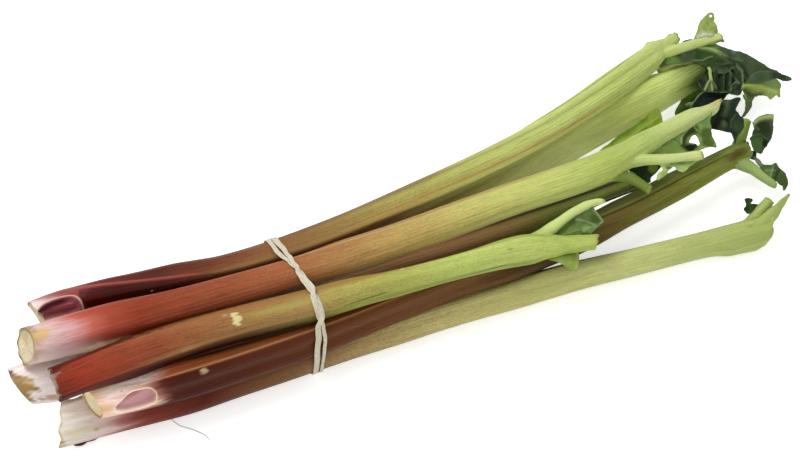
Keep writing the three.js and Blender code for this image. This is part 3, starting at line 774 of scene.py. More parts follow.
             "details": [ridge(0, 400, 0, 14, 99, 10, tone="#acc074", strength=0.85)]},
        ],
    },
    "stalk_back_floor": {
        "line": [(-220, -2.2, 8.7), (-104, 4.8, 10.7), (18, 22.8, 9.3), (84, 39.8, 8.1), (138, 57.3, 7.3),
                 (194, 78.8, 6.5)],
        "widths": [(0, 18), (59, 16.5), (211, 16), (372, 15), (423, 13.5)],
        "turn": (20, 20),
        "on_table": True,
    },
}

# %% [markdown]
# ## The skin's colour
#
# A stalk is nearly white at its base, then pink and red, then brown and olive, and green under the
# leaf. Three colour ramps run along each stalk: one for its back, one for a strip such as its
# grooved face, and one for the fine streaks. The streaks are noise that is drawn out along the
# stalk. It reads a straightened copy of the place on the stalk, stored on every corner, so it
# follows each bend and has no seam. One base came out too grey, so a weak glow was added there.
# Real flesh gives off no light.

# %% A small helper for node trees
class Tree:
    """Adds shader nodes and joins them with short calls."""

    def __init__(self, name):
        self.material = bpy.data.materials.new(name)
        self.material.use_nodes = True
        self.tree = self.material.node_tree
        self.shader = self.tree.nodes["Principled BSDF"]

    def feed(self, socket, value):
        if isinstance(value, bpy.types.NodeSocket):
            self.tree.links.new(value, socket)
        else:
            socket.default_value = value

    def node(self, kind, output, inputs=None, **settings):
        made = self.tree.nodes.new(kind)
        for key, value in settings.items():
            setattr(made, key, value)
        for key, value in (inputs or {}).items():
            self.feed(made.inputs[key], value)
        return made.outputs[output]

    def attribute(self, name, output="Fac"):
        return self.node("ShaderNodeAttribute", output, attribute_name=name)

    def math(self, operation, a, b=0.0, c=0.0):
        return self.node("ShaderNodeMath", 0, {0: a, 1: b, 2: c}, operation=operation)

    def fade(self, value, start, end):
        """0 at start and 1 at end, smoothly."""
        return self.node("ShaderNodeMapRange", 0, {"Value": value, "From Min": start, "From Max": end},
                         interpolation_type="SMOOTHSTEP")

    def mix(self, share, a, b, blend="MIX"):
        made = self.tree.nodes.new("ShaderNodeMix")
        made.data_type = "RGBA"
        made.blend_type = blend
        self.feed(made.inputs["Factor"], share)
        self.feed(made.inputs["A"], colour(a) if isinstance(a, str) else a)
        self.feed(made.inputs["B"], colour(b) if isinstance(b, str) else b)
        return made.outputs["Result"]

    def ramp(self, value, stops):
        made = self.tree.nodes.new("ShaderNodeValToRGB")
        self.feed(made.inputs[0], value)
        elements = made.color_ramp.elements
        for place, tone in stops[1:-1]:
            elements.new(place).color = colour(tone)
        elements[0].position, elements[0].color = stops[0][0], colour(stops[0][1])
        elements[-1].position, elements[-1].color = stops[-1][0], colour(stops[-1][1])
        return made.outputs["Color"]

    def relief(self, strength, distance, height):
        """Makes the surface look raised and sunken by a height map."""
        self.feed(self.shader.inputs["Normal"], self.node("ShaderNodeBump", "Normal", {
            "Strength": strength, "Distance": distance, "Height": height}))

    def soften(self, weight, radius, scale):
        """Lets light in under the surface."""
        self.shader.inputs["Subsurface Weight"].default_value = weight
        self.shader.inputs["Subsurface Radius"].default_value = radius
        self.shader.inputs["Subsurface Scale"].default_value = scale

    def noise(self, vector, scale, detail=2.0, rough=0.5):
        return self.node("ShaderNodeTexNoise", "Fac", {"Vector": vector, "Scale": scale, "Detail": detail,
                                                       "Roughness": rough})


# %% The skin material
STREAK_SCALE = 900.0         # streaks about a millimetre wide
FLECK_SCALE = 1700.0         # flecks half a millimetre wide
FIBRE_SCALE = 2600.0         # the finest fibres, which only show as a slight roughness
DASH_SCALE = 2100.0          # dashes, shorter than the streaks by the stretch below
DRIFT_SCALE = 120.0          # slow wandering of the colours along a stalk
SHADE_SCALE = 300.0          # patches a little lighter or darker
FLESH_SCALE = 1200.0         # the dots in a cut face
DASH_STRETCH = (3.0, 1.0, 1.0)
DASHES_FROM = (30 * MM, 110 * MM)
DASHES_UNTIL = (340 * MM, 190 * MM)
DASHES_LEFT = 0.3            # what is left of them under the leaf
LEAF_END = (230 * MM, 340 * MM)
PALE_UNTIL = (46 * MM, 22 * MM)   # where the glow of a pale base is gone, and where it is whole


def ramp_stops(stops, length_mm):
    return [(min(1.0, s / length_mm), tone) for s, tone in stops]


def skin_material(name, length_mm, tones):
    """The skin of one stalk: ramps along it, streaks, flecks, marks and dried cut ends."""
    t = Tree(name)
    along = t.node("ShaderNodeMapRange", 0, {"Value": t.attribute("along"), "From Max": length_mm * MM})
    grain = t.attribute("grain", "Vector")
    drift = t.noise(grain, DRIFT_SCALE, 3.0)
    streak_noise = t.noise(grain, STREAK_SCALE, 3.0, 0.6)
    fleck_noise = t.noise(grain, FLECK_SCALE, 2.0, 0.6)
    fibre_noise = t.noise(grain, FIBRE_SCALE, 2.0, 0.6)
    dash_place = t.node("ShaderNodeVectorMath", 0, {0: grain, 1: DASH_STRETCH}, operation="MULTIPLY")
    dash_noise = t.noise(dash_place, DASH_SCALE, 3.0, 0.65)

    wander = t.math("MULTIPLY_ADD", t.math("SUBTRACT", drift, 0.5), 0.10, along)
    back = t.ramp(wander, ramp_stops(tones["back"], length_mm))
    strip = t.ramp(wander, ramp_stops(tones["strip"], length_mm))
    streak = t.ramp(wander, ramp_stops(tones["streak"], length_mm))
    edge = t.math("MULTIPLY_ADD", t.math("SUBTRACT", streak_noise, 0.5), 0.5, t.attribute("strip"))
    skin = t.mix(t.fade(edge, 0.3, 0.7), back, strip)
    amount = t.math("MULTIPLY", t.fade(streak_noise, 0.46, 0.68), tones["streaks"])
    skin = t.mix(amount, skin, streak)
    fleck = t.math("MULTIPLY", t.fade(fleck_noise, 0.5, 0.66), tones["flecks"])
    skin = t.mix(fleck, skin, streak)
    valley = t.math("MULTIPLY", t.fade(t.attribute("crest"), 0.55, 0.0), tones["valleys"])
    skin = t.mix(valley, skin, streak)
    dash = t.math("MULTIPLY", t.fade(dash_noise, 0.52, 0.64), tones["dashes"])
    until = t.math("MAXIMUM", t.fade(t.attribute("along"), *DASHES_UNTIL), DASHES_LEFT)
    dashed = t.math("MULTIPLY", t.fade(t.attribute("along"), *DASHES_FROM), until)
    dash = t.math("MULTIPLY", dash, dashed)
    skin = t.mix(dash, skin, t.mix(0.35, streak, tones["dash"]))
    light = t.math("MULTIPLY_ADD", t.math("SUBTRACT", t.noise(grain, SHADE_SCALE, 2.0), 0.5), 0.5, 1.0)
    speckle = t.math("MULTIPLY", dashed, 0.6)
    light = t.math("MULTIPLY_ADD", t.math("SUBTRACT", 0.5, dash_noise), speckle, light)
    lighter = t.node("ShaderNodeCombineColor", 0, {0: light, 1: light, 2: light})
    skin = t.mix(1.0, skin, lighter, "MULTIPLY")

    painted = t.attribute("paint", "Color")
    coat = t.attribute("paint", "Alpha")
    skin = t.mix(coat, skin, painted)

    heart = t.attribute("heart")
    dots = t.noise(t.node("ShaderNodeTexCoord", "Object"), FLESH_SCALE, 3.0, 0.7)
    flesh = t.mix(t.fade(dots, 0.35, 0.65), tones["flesh"], tones["flesh_dots"])
    rim = t.math("MULTIPLY", t.fade(heart, 0.28, 0.04), t.fade(dots, 0.2, 0.6))
    flesh = t.mix(rim, flesh, tones["rim"])
    flesh = t.mix(t.math("MULTIPLY", t.fade(t.attribute("along"), *LEAF_END), 0.9), flesh, tones["leaf_cut"])
    flesh = t.mix(t.math("MULTIPLY", coat, 0.45), flesh, painted)
    skin = t.mix(t.attribute("cut_face"), skin, flesh)

    t.feed(t.shader.inputs["Base Color"], skin)
    t.feed(t.shader.inputs["Emission Color"], skin)
    pale = t.fade(t.attribute("along"), *PALE_UNTIL)
    t.feed(t.shader.inputs["Emission Strength"], t.math("MULTIPLY", pale, tones["glow"]))
    gloss = t.node("ShaderNodeMapRange", 0, {"Value": streak_noise, "To Min": 0.32, "To Max": 0.52})
    gloss = t.math("MAXIMUM", gloss, t.math("MULTIPLY", t.attribute("cut_face"), 0.75))
    t.feed(t.shader.inputs["Roughness"], gloss)
    relief = t.math("ADD", t.math("MULTIPLY", streak_noise, 0.6), t.math("MULTIPLY", fibre_noise, 0.4))
    t.relief(0.5, 0.25 * MM, relief)
    t.shader.inputs["Specular IOR Level"].default_value = 0.1
    t.soften(0.03, (1.0, 0.5, 0.3), 1.5 * MM)
    return t.material


# Distances in millimetres from the base, and the colour there. Most of these colours equal, or
# nearly equal, what a colour-matching program outside this file printed.
TONES = {
    "stalk_top_grooved": {
        "back": [(0, "#c48c8c"), (14, "#a44c50"), (30, "#80342c"), (60, "#50201a"), (110, "#804a2e"),
                 (160, "#926e40"), (210, "#b0a65a"), (260, "#b8be68"), (320, "#c6d47a"), (380, "#c0d074"),
                 (433, "#c4d284")],
        # The strip's near-black stops are partly painted shade, where the face lies against the stalk below.
        "strip": [(0, "#5a1c18"), (24, "#4e0602"), (60, "#380a04"), (110, "#3c0e08"), (160, "#6c3a20"),
                  (210, "#7a6030"), (260, "#8c8c40"), (320, "#98a450"), (380, "#a4b456"), (433, "#b0c060")],
        "streak": [(0, "#c08878"), (30, "#2e0402"), (110, "#62341e"), (200, "#a08a50"), (300, "#9e9258"),
                   (380, "#9aa452"), (433, "#a2b062")],
    },
    "stalk_top_broad": {
        "streaks": 0.36, "dashes": 0.32,
        "back": [(0, "#c4a484"), (12, "#ead4d4"), (24, "#e4b2b4"), (35, "#c46c56"), (46, "#a84a32"),
                 (64, "#943e26"), (90, "#96482c"), (150, "#a6623e"), (200, "#b69458"), (240, "#c0b066"),
                 (280, "#cace76"), (320, "#c2d074"), (350, "#b0c062"), (380, "#b8ca76"), (436, "#d0d898")],
        "strip": [(0, "#d8b0a0"), (60, "#a84c40"), (200, "#8c5038"), (300, "#a89a50"), (436, "#b4c870")],
        "streak": [(0, "#b88c7e"), (36, "#b04a40"), (64, "#6e2614"), (150, "#804e2e"), (220, "#9a7644"),
                   (280, "#aa9054"), (340, "#9c9e54"), (380, "#9eb05e"), (436, "#b8c67a")],
    },
    "stalk_front_short": {
        "back": [(0, "#863626"), (15, "#a83e26"), (60, "#985234"), (110, "#9a7444"), (140, "#a0824c"),
                 (170, "#aaa456"), (200, "#aeb05a"), (240, "#bcca6e"), (280, "#beca72"), (318, "#aebe60")],
        "strip": [(0, "#5c140a"), (60, "#320c04"), (110, "#5e381c"), (170, "#929844"), (240, "#a6b054"),
                  (318, "#a0b854")],
        "streak": [(0, "#4e1208"), (60, "#6e2c1a"), (110, "#7a4e2c"), (160, "#947242"), (220, "#a2b258"),
                   (318, "#98a850")],
    },
    "stalk_front_grooved": {
        "glow": 0.2,
        "back": [(0, "#f4dcac"), (10, "#fefaf0"), (30, "#fef0e6"), (42, "#cc6844"), (60, "#965024"),
                 (120, "#925632"), (180, "#7c4828"), (250, "#6c4c2c"), (320, "#5c5a2c"), (380, "#7c8c38"),
                 (428, "#96a650")],
        "strip": [(0, "#e2ba92"), (12, "#feeae4"), (30, "#d4b0a2"), (37, "#905c50"), (42, "#521e14"),
                  (54, "#421408"), (150, "#623212"), (220, "#6c4c26"), (275, "#4c3c24"), (320, "#6c5a2c"),
                  (360, "#807e34"), (400, "#8e963a"), (416, "#808036"), (428, "#84943c")],
        "streak": [(0, "#d6a878"), (36, "#8e5442"), (44, "#421204"), (200, "#563416"), (300, "#4e3c20"),
                   (428, "#6a7430")],
    },
    "stalk_front_floor": {
        "back": [(0, "#f0e8e0"), (24, "#dcc6c0"), (34, "#a8645e"), (42, "#80342a"), (60, "#6a2a18"),
                 (80, "#581c0c"), (140, "#805c3a"), (180, "#ae9a64"), (220, "#c2b878"), (280, "#c6c87c"),
                 (340, "#c6cc84"), (427, "#a4b466")],
        # The strip is an olive-brown band along the upper side; its dark stop at 290 mm is painted shade from
        # the stalk above.
        "strip": [(0, "#f4f0e8"), (34, "#b07a74"), (80, "#5a1a0c"), (180, "#8c6840"), (230, "#7c6438"),
                  (290, "#5c5a2c"), (345, "#8a9048"), (427, "#98a054")],
        "streak": [(0, "#d4cab2"), (32, "#986862"), (48, "#6a2c20"), (80, "#3e1006"), (180, "#907246"),
                   (260, "#b6a466"), (427, "#9aa65a")],
    },
    "stalk_core": {
        "back": [(0, "#f6ece6"), (44, "#f4eae6"), (80, "#e4c8a0"), (110, "#c0a468"), (160, "#9c6038"),
                 (260, "#b87c54"), (320, "#98a050"), (387, "#748438")],
        "strip": [(0, "#e0d8cc"), (387, "#5c6a30")],
        "streak": [(0, "#e0d0c8"), (60, "#e0ccc4"), (110, "#a88c5c"), (160, "#7c3c28"), (260, "#8c5c3c"),
                   (387, "#566030")],
    },
    "stalk_back_middle": {
        "streaks": 0.25, "dashes": 0.3, "flecks": 0.2,
        # The back's last stop darkens the tip: painted shade, as for the patch on the end.
        "back": [(0, "#d8c0b0"), (50, "#b06050"), (140, "#9c6840"), (220, "#ccbc6c"), (300, "#fafcb0"),
                 (370, "#d0dc78"), (405, "#ccdc80"), (424, "#8c9c4c"), (433, "#46521f")],
        "strip": [(0, "#c0a090"), (428, "#8c9c50")],
        "streak": [(0, "#c8a898"), (140, "#84502c"), (220, "#948848"), (300, "#d8dc80"), (428, "#708038")],
    },
    "stalk_back_floor": {
        "back": [(0, "#d8c0b0"), (50, "#a05848"), (140, "#8c5c3c"), (240, "#a09450"), (330, "#b4bc68"),
                 (423, "#bccc74")],
        "strip": [(0, "#c0a090"), (240, "#7c7440"), (423, "#98a458")],
        "streak": [(0, "#c8a898"), (140, "#74402c"), (240, "#847644"), (423, "#98a458")],
    },
}
PLAIN_TONES = {
    "streaks": 0.45, "flecks": 0.3, "valleys": 0.28, "dashes": 0.5, "dash": "#7c4428",
    "flesh": "#d0bc90", "flesh_dots": "#e6dabc", "rim": "#7c5a2c", "leaf_cut": "#a0b058", "glow": 0.0,
}

# %% [markdown]
# ## The forked leaf ends
#
# Under the leaf the stalk splits into thick veins. Each side vein is a thin stalk of its own, grown
# from inside the main one, so that it can be joined by a boolean union. A union leaves a hard
# crease, and living tissue has none, so the corners close to the crease are smoothed.

# %% Joining veins to a stalk
SKIN_NOTES = ("along", "bearing", "grain", "crest", "cut_face", "heart", "paint", "strip")
FIELDS = {"FLOAT": ("value", 1), "FLOAT_VECTOR": ("vector", 3), "FLOAT_COLOR": ("color", 4)}
VEIN_AROUND = 72
CREASE_REACH = 3.0 * MM      # how far from the crease the surface is smoothed
SMOOTHINGS = 12
NEW_CORNER = 0.002 * MM       # a corner further than this from every old one is new


def vein_spec(own):
    """The details of a thin leaf vein, on top of what every stalk has."""
    return {**PLAIN, "around": VEIN_AROUND, "fine": [(0, 999)], "rounds_off": (-2, -1), "rib_height": 0.12,
            "ribs_from": (0, 1), "wobble": 0.2, "groove": 0,
            "base_cut": {"slant": 0, "towards": 0, "ragged": 0, "fade": 2, "dish": -1},
            "tip_cut": {"slant": 0.8, "towards": 120, "ragged": 0.45, "fade": 6, "dish": -0.8, "teeth": 16},
            **own}


def read_attribute(piece, name):
    attribute = piece.data.attributes[name]
    field, size = FIELDS[attribute.data_type]
    values = np.empty(len(piece.data.vertices) * size, np.float32)
    attribute.data.foreach_get(field, values)
    return values.reshape(-1, size)


def apply_boolean(piece, tool, operation):
    """Unites, cuts or intersects a piece with a tool, and uses the tool up."""
    deselect_all()
    bpy.context.view_layer.objects.active = piece
    piece.select_set(True)
    change = piece.modifiers.new("change", "BOOLEAN")
    change.operation = operation
    change.solver = "MANIFOLD"
    change.object = tool
    bpy.ops.object.modifier_apply(modifier=change.name)
    bpy.data.objects.remove(tool)


def search_tree(corners):
    tree = KDTree(len(corners))
    for number, corner in enumerate(corners):
        tree.insert(corner, number)
    tree.balance()
    return tree


def join_vein(stalk, vein):
    """Unites a vein with its stalk and smooths the crease between them."""
    old = search_tree(np.vstack([read_corners(stalk), read_corners(vein)]))
    notes = {name: np.vstack([read_attribute(stalk, name), read_attribute(vein, name)])
             for name in SKIN_NOTES}
    apply_boolean(stalk, vein, "UNION")
    corners = read_corners(stalk)
    found = [old.find(corner)[1:] for corner in corners]
    nearest = np.array([number for number, _ in found])
    for name, values in notes.items():
        attribute = stalk.data.attributes[name]
        attribute.data.foreach_set(FIELDS[attribute.data_type][0], values[nearest].ravel())
    fresh = corners[[gap > NEW_CORNER for _, gap in found]]
    crease = search_tree(fresh)
    stalk.data.vertices.foreach_set("select", [crease.find(corner)[2] < CREASE_REACH for corner in corners])
    stalk.data.edges.foreach_set("select", [False] * len(stalk.data.edges))
    stalk.data.polygons.foreach_set("select", [False] * len(stalk.data.polygons))
    bpy.ops.object.mode_set(mode="EDIT")
    bpy.context.tool_settings.mesh_select_mode = (True, False, False)
    bpy.ops.mesh.vertices_smooth(factor=0.5, repeat=SMOOTHINGS)
    bpy.ops.object.mode_set(mode="OBJECT")
    return len(fresh)


# %% Growing the stalks
SEEDS_PER_STALK = 10
FIRST_VEIN_SEED = 5

for number, (name, own) in enumerate(STALKS.items()):
    spec = {**PLAIN, **own}
    seed = SEEDS_PER_STALK * number
    stalk, line = grow(name + "_skin", spec, seed)
    for vein_number, vein_own in enumerate(spec.get("veins", [])):
        vein, _ = grow("vein", vein_spec(vein_own), seed + FIRST_VEIN_SEED + vein_number)
        print("crease corners:", join_vein(stalk, vein))
    tones = {**PLAIN_TONES, **TONES[name]}
    stalk.data.materials.clear()
    stalk.data.materials.append(skin_material(name + "_skin", line.length / MM, tones))
    deselect_all()
    stalk.select_set(True)
    bpy.ops.object.shade_smooth()
    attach(stalk, "root")
    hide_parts(name)
    print(name, "faces:", len(stalk.data.polygons), "length in mm:", round(line.length / MM))

# %% [markdown]
# ## The torn leaf blades
#
# The blades were pulled off and only scraps are left, crumpled, with pale veins and torn edges.
# Cloth simulation could crumple a sheet, but it could not say where a scrap folds. So each scrap is
# cut like dough: a thin gridded sheet is intersected with a block that has the scrap's ragged
# outline. Its corners are then lifted by veins, blisters and folds, and bent round where it curls.

# %% Cutting a scrap out of a thin sheet
BLADE_THICKNESS = 0.5 * MM
BLADE_CELL = 0.6 * MM
SHEET_MARGIN = 2 * MM
SPLITS = 3                   # how often each side of an outline is split


def torn_line(corners, seed, ragged):
    """Rounds an outline and tears it: each side is split again and again, a little out of line."""
    rng = np.random.default_rng(seed)
    line = np.array(corners, float) * MM
    for _ in range(SPLITS):
        after = np.roll(line, -1, axis=0)
        middle = (9 * (line + after) - np.roll(line, 1, axis=0) - np.roll(line, -2, axis=0)) / 16
        across = (after - line) @ np.array([[0, -1], [1, 0]])
        middle = middle + across * rng.normal(0, ragged, (len(line), 1))
        line = np.stack([line, middle], 1).reshape(-1, 2)
    return line


def solidify(piece, thickness):
    wall = piece.modifiers.new("wall", "SOLIDIFY")
    wall.thickness = thickness
    wall.offset = 0
    bpy.context.view_layer.objects.active = piece
    bpy.ops.object.modifier_apply(modifier=wall.name)


def block(line, reach):
    """A block with a scrap's outline, which cuts the scrap out of the sheet."""
    deselect_all()
    bpy.ops.mesh.primitive_circle_add(vertices=len(line), radius=MM, fill_type="NGON")
    piece = bpy.context.object
    write_corners(piece, np.column_stack([line, np.full(len(line), -reach)]))
    bpy.ops.object.mode_set(mode="EDIT")
    bpy.ops.mesh.select_all(action="SELECT")
    bpy.ops.mesh.extrude_region_move(TRANSFORM_OT_translate={"value": (0, 0, 2 * reach)})
    bpy.ops.mesh.select_all(action="SELECT")
    bpy.ops.mesh.normals_make_consistent(inside=False)
    bpy.ops.object.mode_set(mode="OBJECT")
    return piece


def cut_sheet(name, line, holes):
    """A flat scrap of blade with its outline and holes."""
    near, far = line.min(axis=0) - SHEET_MARGIN, line.max(axis=0) + SHEET_MARGIN
    columns, rows = np.ceil((far - near) / BLADE_CELL).astype(int)
    piece, column, row = paper_grid(name, columns, rows)
    flat = near + (far - near) * np.stack([column / columns, row / rows], -1)
    write_corners(piece, np.column_stack([flat, np.zeros(len(flat))]))
    solidify(piece, BLADE_THICKNESS)
    apply_boolean(piece, block(line, BLADE_THICKNESS), "INTERSECT")
    for hole in holes:
        apply_boolean(piece, block(hole, BLADE_THICKNESS), "DIFFERENCE")
    return piece


# %% Veins, folds and curls
VEIN_SPACING = 4.2 * MM
SIDE_VEIN_REACH = 9 * MM
VEIN_RADIUS = 0.75 * MM      # of a main vein where it starts
SIDE_VEIN_RADIUS = 0.32 * MM
SIDE_VEIN_LEANS = (58, 46, 30)   # degrees from the main vein, from its root to its tip
BLISTER_REACH = 1.5 * MM     # how soon the blade rises beside a vein
CRUMPLE_WAVE = 9 * MM
CURL_WAVE = 14 * MM


def pieces_of(line, start_radius, end_radius, closed=False):
    """A line as straight pieces: two ends each, and a radius that tapers from start to end."""
    line = np.array(line, float)
    if closed:
        line = np.vstack([line, line[:1]])
    radius = np.linspace(start_radius, end_radius, len(line))
    return np.column_stack([line[:-1], line[1:], (radius[:-1] + radius[1:]) / 2])


def gaps(flat, pieces):
    """Distance from every corner to every straight piece."""
    start, along = pieces[:, :2], pieces[:, 2:4] - pieces[:, :2]
    away = flat[:, None] - start[None]
    share = (away * along).sum(-1) / np.maximum((along ** 2).sum(-1), 1e-12)
    return np.linalg.norm(away - np.clip(share, 0, 1)[..., None] * along, axis=-1)


def side_veins(main, seed):
    """Smaller veins that leave a main vein on both sides and bend forwards."""
    rng = np.random.default_rng(seed)
    line = np.array(main, float) * MM
    reach = np.concatenate([[0], np.cumsum(np.linalg.norm(np.diff(line, axis=0), axis=1))])
    found = []
    for number, place in enumerate(np.arange(0.4 * VEIN_SPACING, reach[-1], VEIN_SPACING / 2)):
        at = np.array([np.interp(place, reach, axis) for axis in line.T])
        ahead = np.array([np.interp(place + MM, reach, axis) for axis in line.T]) - at
        if np.linalg.norm(ahead) < 0.1 * MM:
            continue
        heading = math.atan2(ahead[1], ahead[0])
        side = 1 if number % 2 else -1
        path = [at]
        for lean in SIDE_VEIN_LEANS:
            angle = heading + side * math.radians(lean + rng.uniform(-8, 8))
            path.append(path[-1] + SIDE_VEIN_REACH / 3 * np.array([math.cos(angle), math.sin(angle)]))
        found.append(pieces_of(path, SIDE_VEIN_RADIUS, SIDE_VEIN_RADIUS * 0.6))
    return found


def crumple(flat, seed, wavelength):
    """A random crumpled height, from about -1 to 1: sharp folds in a few directions that cross."""
    rng = np.random.default_rng(seed)
    total = 0
    for _ in range(5):
        heading = rng.uniform(0, math.pi)
        wave = math.pi / wavelength * rng.uniform(0.5, 1.4)
        across = flat @ np.array([math.cos(heading), math.sin(heading)])
        total = total + 1 - 2 * np.abs(np.sin(wave * across + rng.uniform(0, math.pi)))
    return total / 3


def roll_over(places, at, heading, radius, degrees):
    """Bends all that lies past a line round a cylinder, as a drying leaf curls."""
    ahead = np.array([math.cos(math.radians(heading)), math.sin(math.radians(heading))])
    past = (places[:, :2] - np.array(at) * MM) @ ahead
    radius = radius * MM
    sign = math.copysign(1, degrees)
    turned = np.clip(past / radius, 0, math.radians(abs(degrees)))
    straight = np.maximum(past - radius * turned, 0) * (past > 0)
    height = places[:, 2]
    forward = np.minimum(past, 0) + radius * np.sin(turned) + straight * np.cos(turned)
    forward = forward - sign * height * np.sin(turned)
    lifted = sign * (radius * (1 - np.cos(turned)) + straight * np.sin(turned)) + height * np.cos(turned)
    return np.column_stack([places[:, :2] + np.outer(forward - past, ahead), lifted])


def fold(line, height, reach, tone=None, strength=0.8):
    """A fold along a line: how high it stands, how wide it is, in mm, and a tone painted along it, which on
    sunken folds is often painted shade in the crease.
    """
    pieces = pieces_of(np.array(line, float) * MM, 0, 0)

    def lay(flat, paint):
        gap = gaps(flat, pieces).min(axis=1) / MM
        if tone:
            lay_paint(paint, tone, strength * np.exp(-(gap / reach) ** 2))
        return height * np.maximum(0, 1 - gap / (1.6 * reach))
    return lay


def tone_and_shade_patch(tone, at, radius, strength=0.9):
    """A soft patch of another tone: mostly the scrap's own colour, and painted shade where it darkens a
    hollow.
    """
    def lay(flat, paint):
        gap = np.linalg.norm(flat / MM - at, axis=1)
        lay_paint(paint, tone, strength * step(gap, radius * 1.3, radius * 0.5))
        return 0
    return lay


def shape_scrap(name, spec, seed):
    """Makes one scrap of blade: cut, blistered between its veins, folded, bent and put in its place."""
    line = torn_line(spec["outline"], seed, spec.get("ragged", 0.09))
    holes = [torn_line(hole, seed + 1, 0.06) for hole in spec.get("holes", [])]
    piece = cut_sheet(name, line, holes)
    corners = read_corners(piece)
    flat = corners[:, :2].copy()
    front = (corners[:, 2] > 0).astype(float)

    vein_lines = spec.get("veins", [])
    mains = [pieces_of(np.array(vein) * MM, VEIN_RADIUS, VEIN_RADIUS * 0.35) for vein in vein_lines]
    sides = [small for number, vein in enumerate(vein_lines) for small in side_veins(vein, seed + number)]
    veins = np.vstack([*mains, *sides, [[1, 1, 1, 1, MM]]])
    gap = gaps(flat, veins)
    vein = np.exp(-(gap / veins[:, 4]) ** 2).max(axis=1)
    rims = np.vstack([pieces_of(edge, 0, 0, closed=True) for edge in [line, *holes]])
    rim_gap = gaps(flat, rims).min(axis=1) / MM

    paint = np.zeros((len(flat), 4))
    height = spec.get("vein_height", 0.35) * vein
    height = height + spec.get("blister", 0.5) * (1 - np.exp(-(gap.min(axis=1) / BLISTER_REACH) ** 2))
    height = height + spec.get("crumple", 0.6) * crumple(flat, seed + 3, CRUMPLE_WAVE)
    wave = 0.5 + 0.5 * crumple(flat, seed + 4, CURL_WAVE)
    height = height + spec.get("curl", 1.2) * wave * np.maximum(0, 1 - rim_gap / 2.5) ** 2
    for detail in spec.get("details", []):
        height = height + detail(flat, paint)
    places = np.column_stack([flat, corners[:, 2] + height * MM])
    for bend in spec.get("bends", []):
        places = roll_over(places, *bend)

    facing = np.array(spec["facing"]) / np.linalg.norm(spec["facing"])
    first = Line.unit(np.array([1, 0, 0]) - facing * facing[0])
    second = np.cross(facing, first)
    placed = np.array(spec["at"]) * MM + places @ np.stack([first, second, facing])
    placed[:, 2] = np.maximum(placed[:, 2], low.z + 0.2 * MM)
    write_corners(piece, placed)
    write_attribute(piece, "front", front)
    write_attribute(piece, "vein", vein)
    write_attribute(piece, "rim", np.exp(-(rim_gap / 0.45) ** 2))
    write_attribute(piece, "flat", np.column_stack([flat, np.full(len(flat), seed * 0.01)]))
    write_attribute(piece, "paint", paint)
    deselect_all()
    piece.select_set(True)
    bpy.context.view_layer.objects.active = piece
    bpy.ops.object.shade_smooth()
    return piece


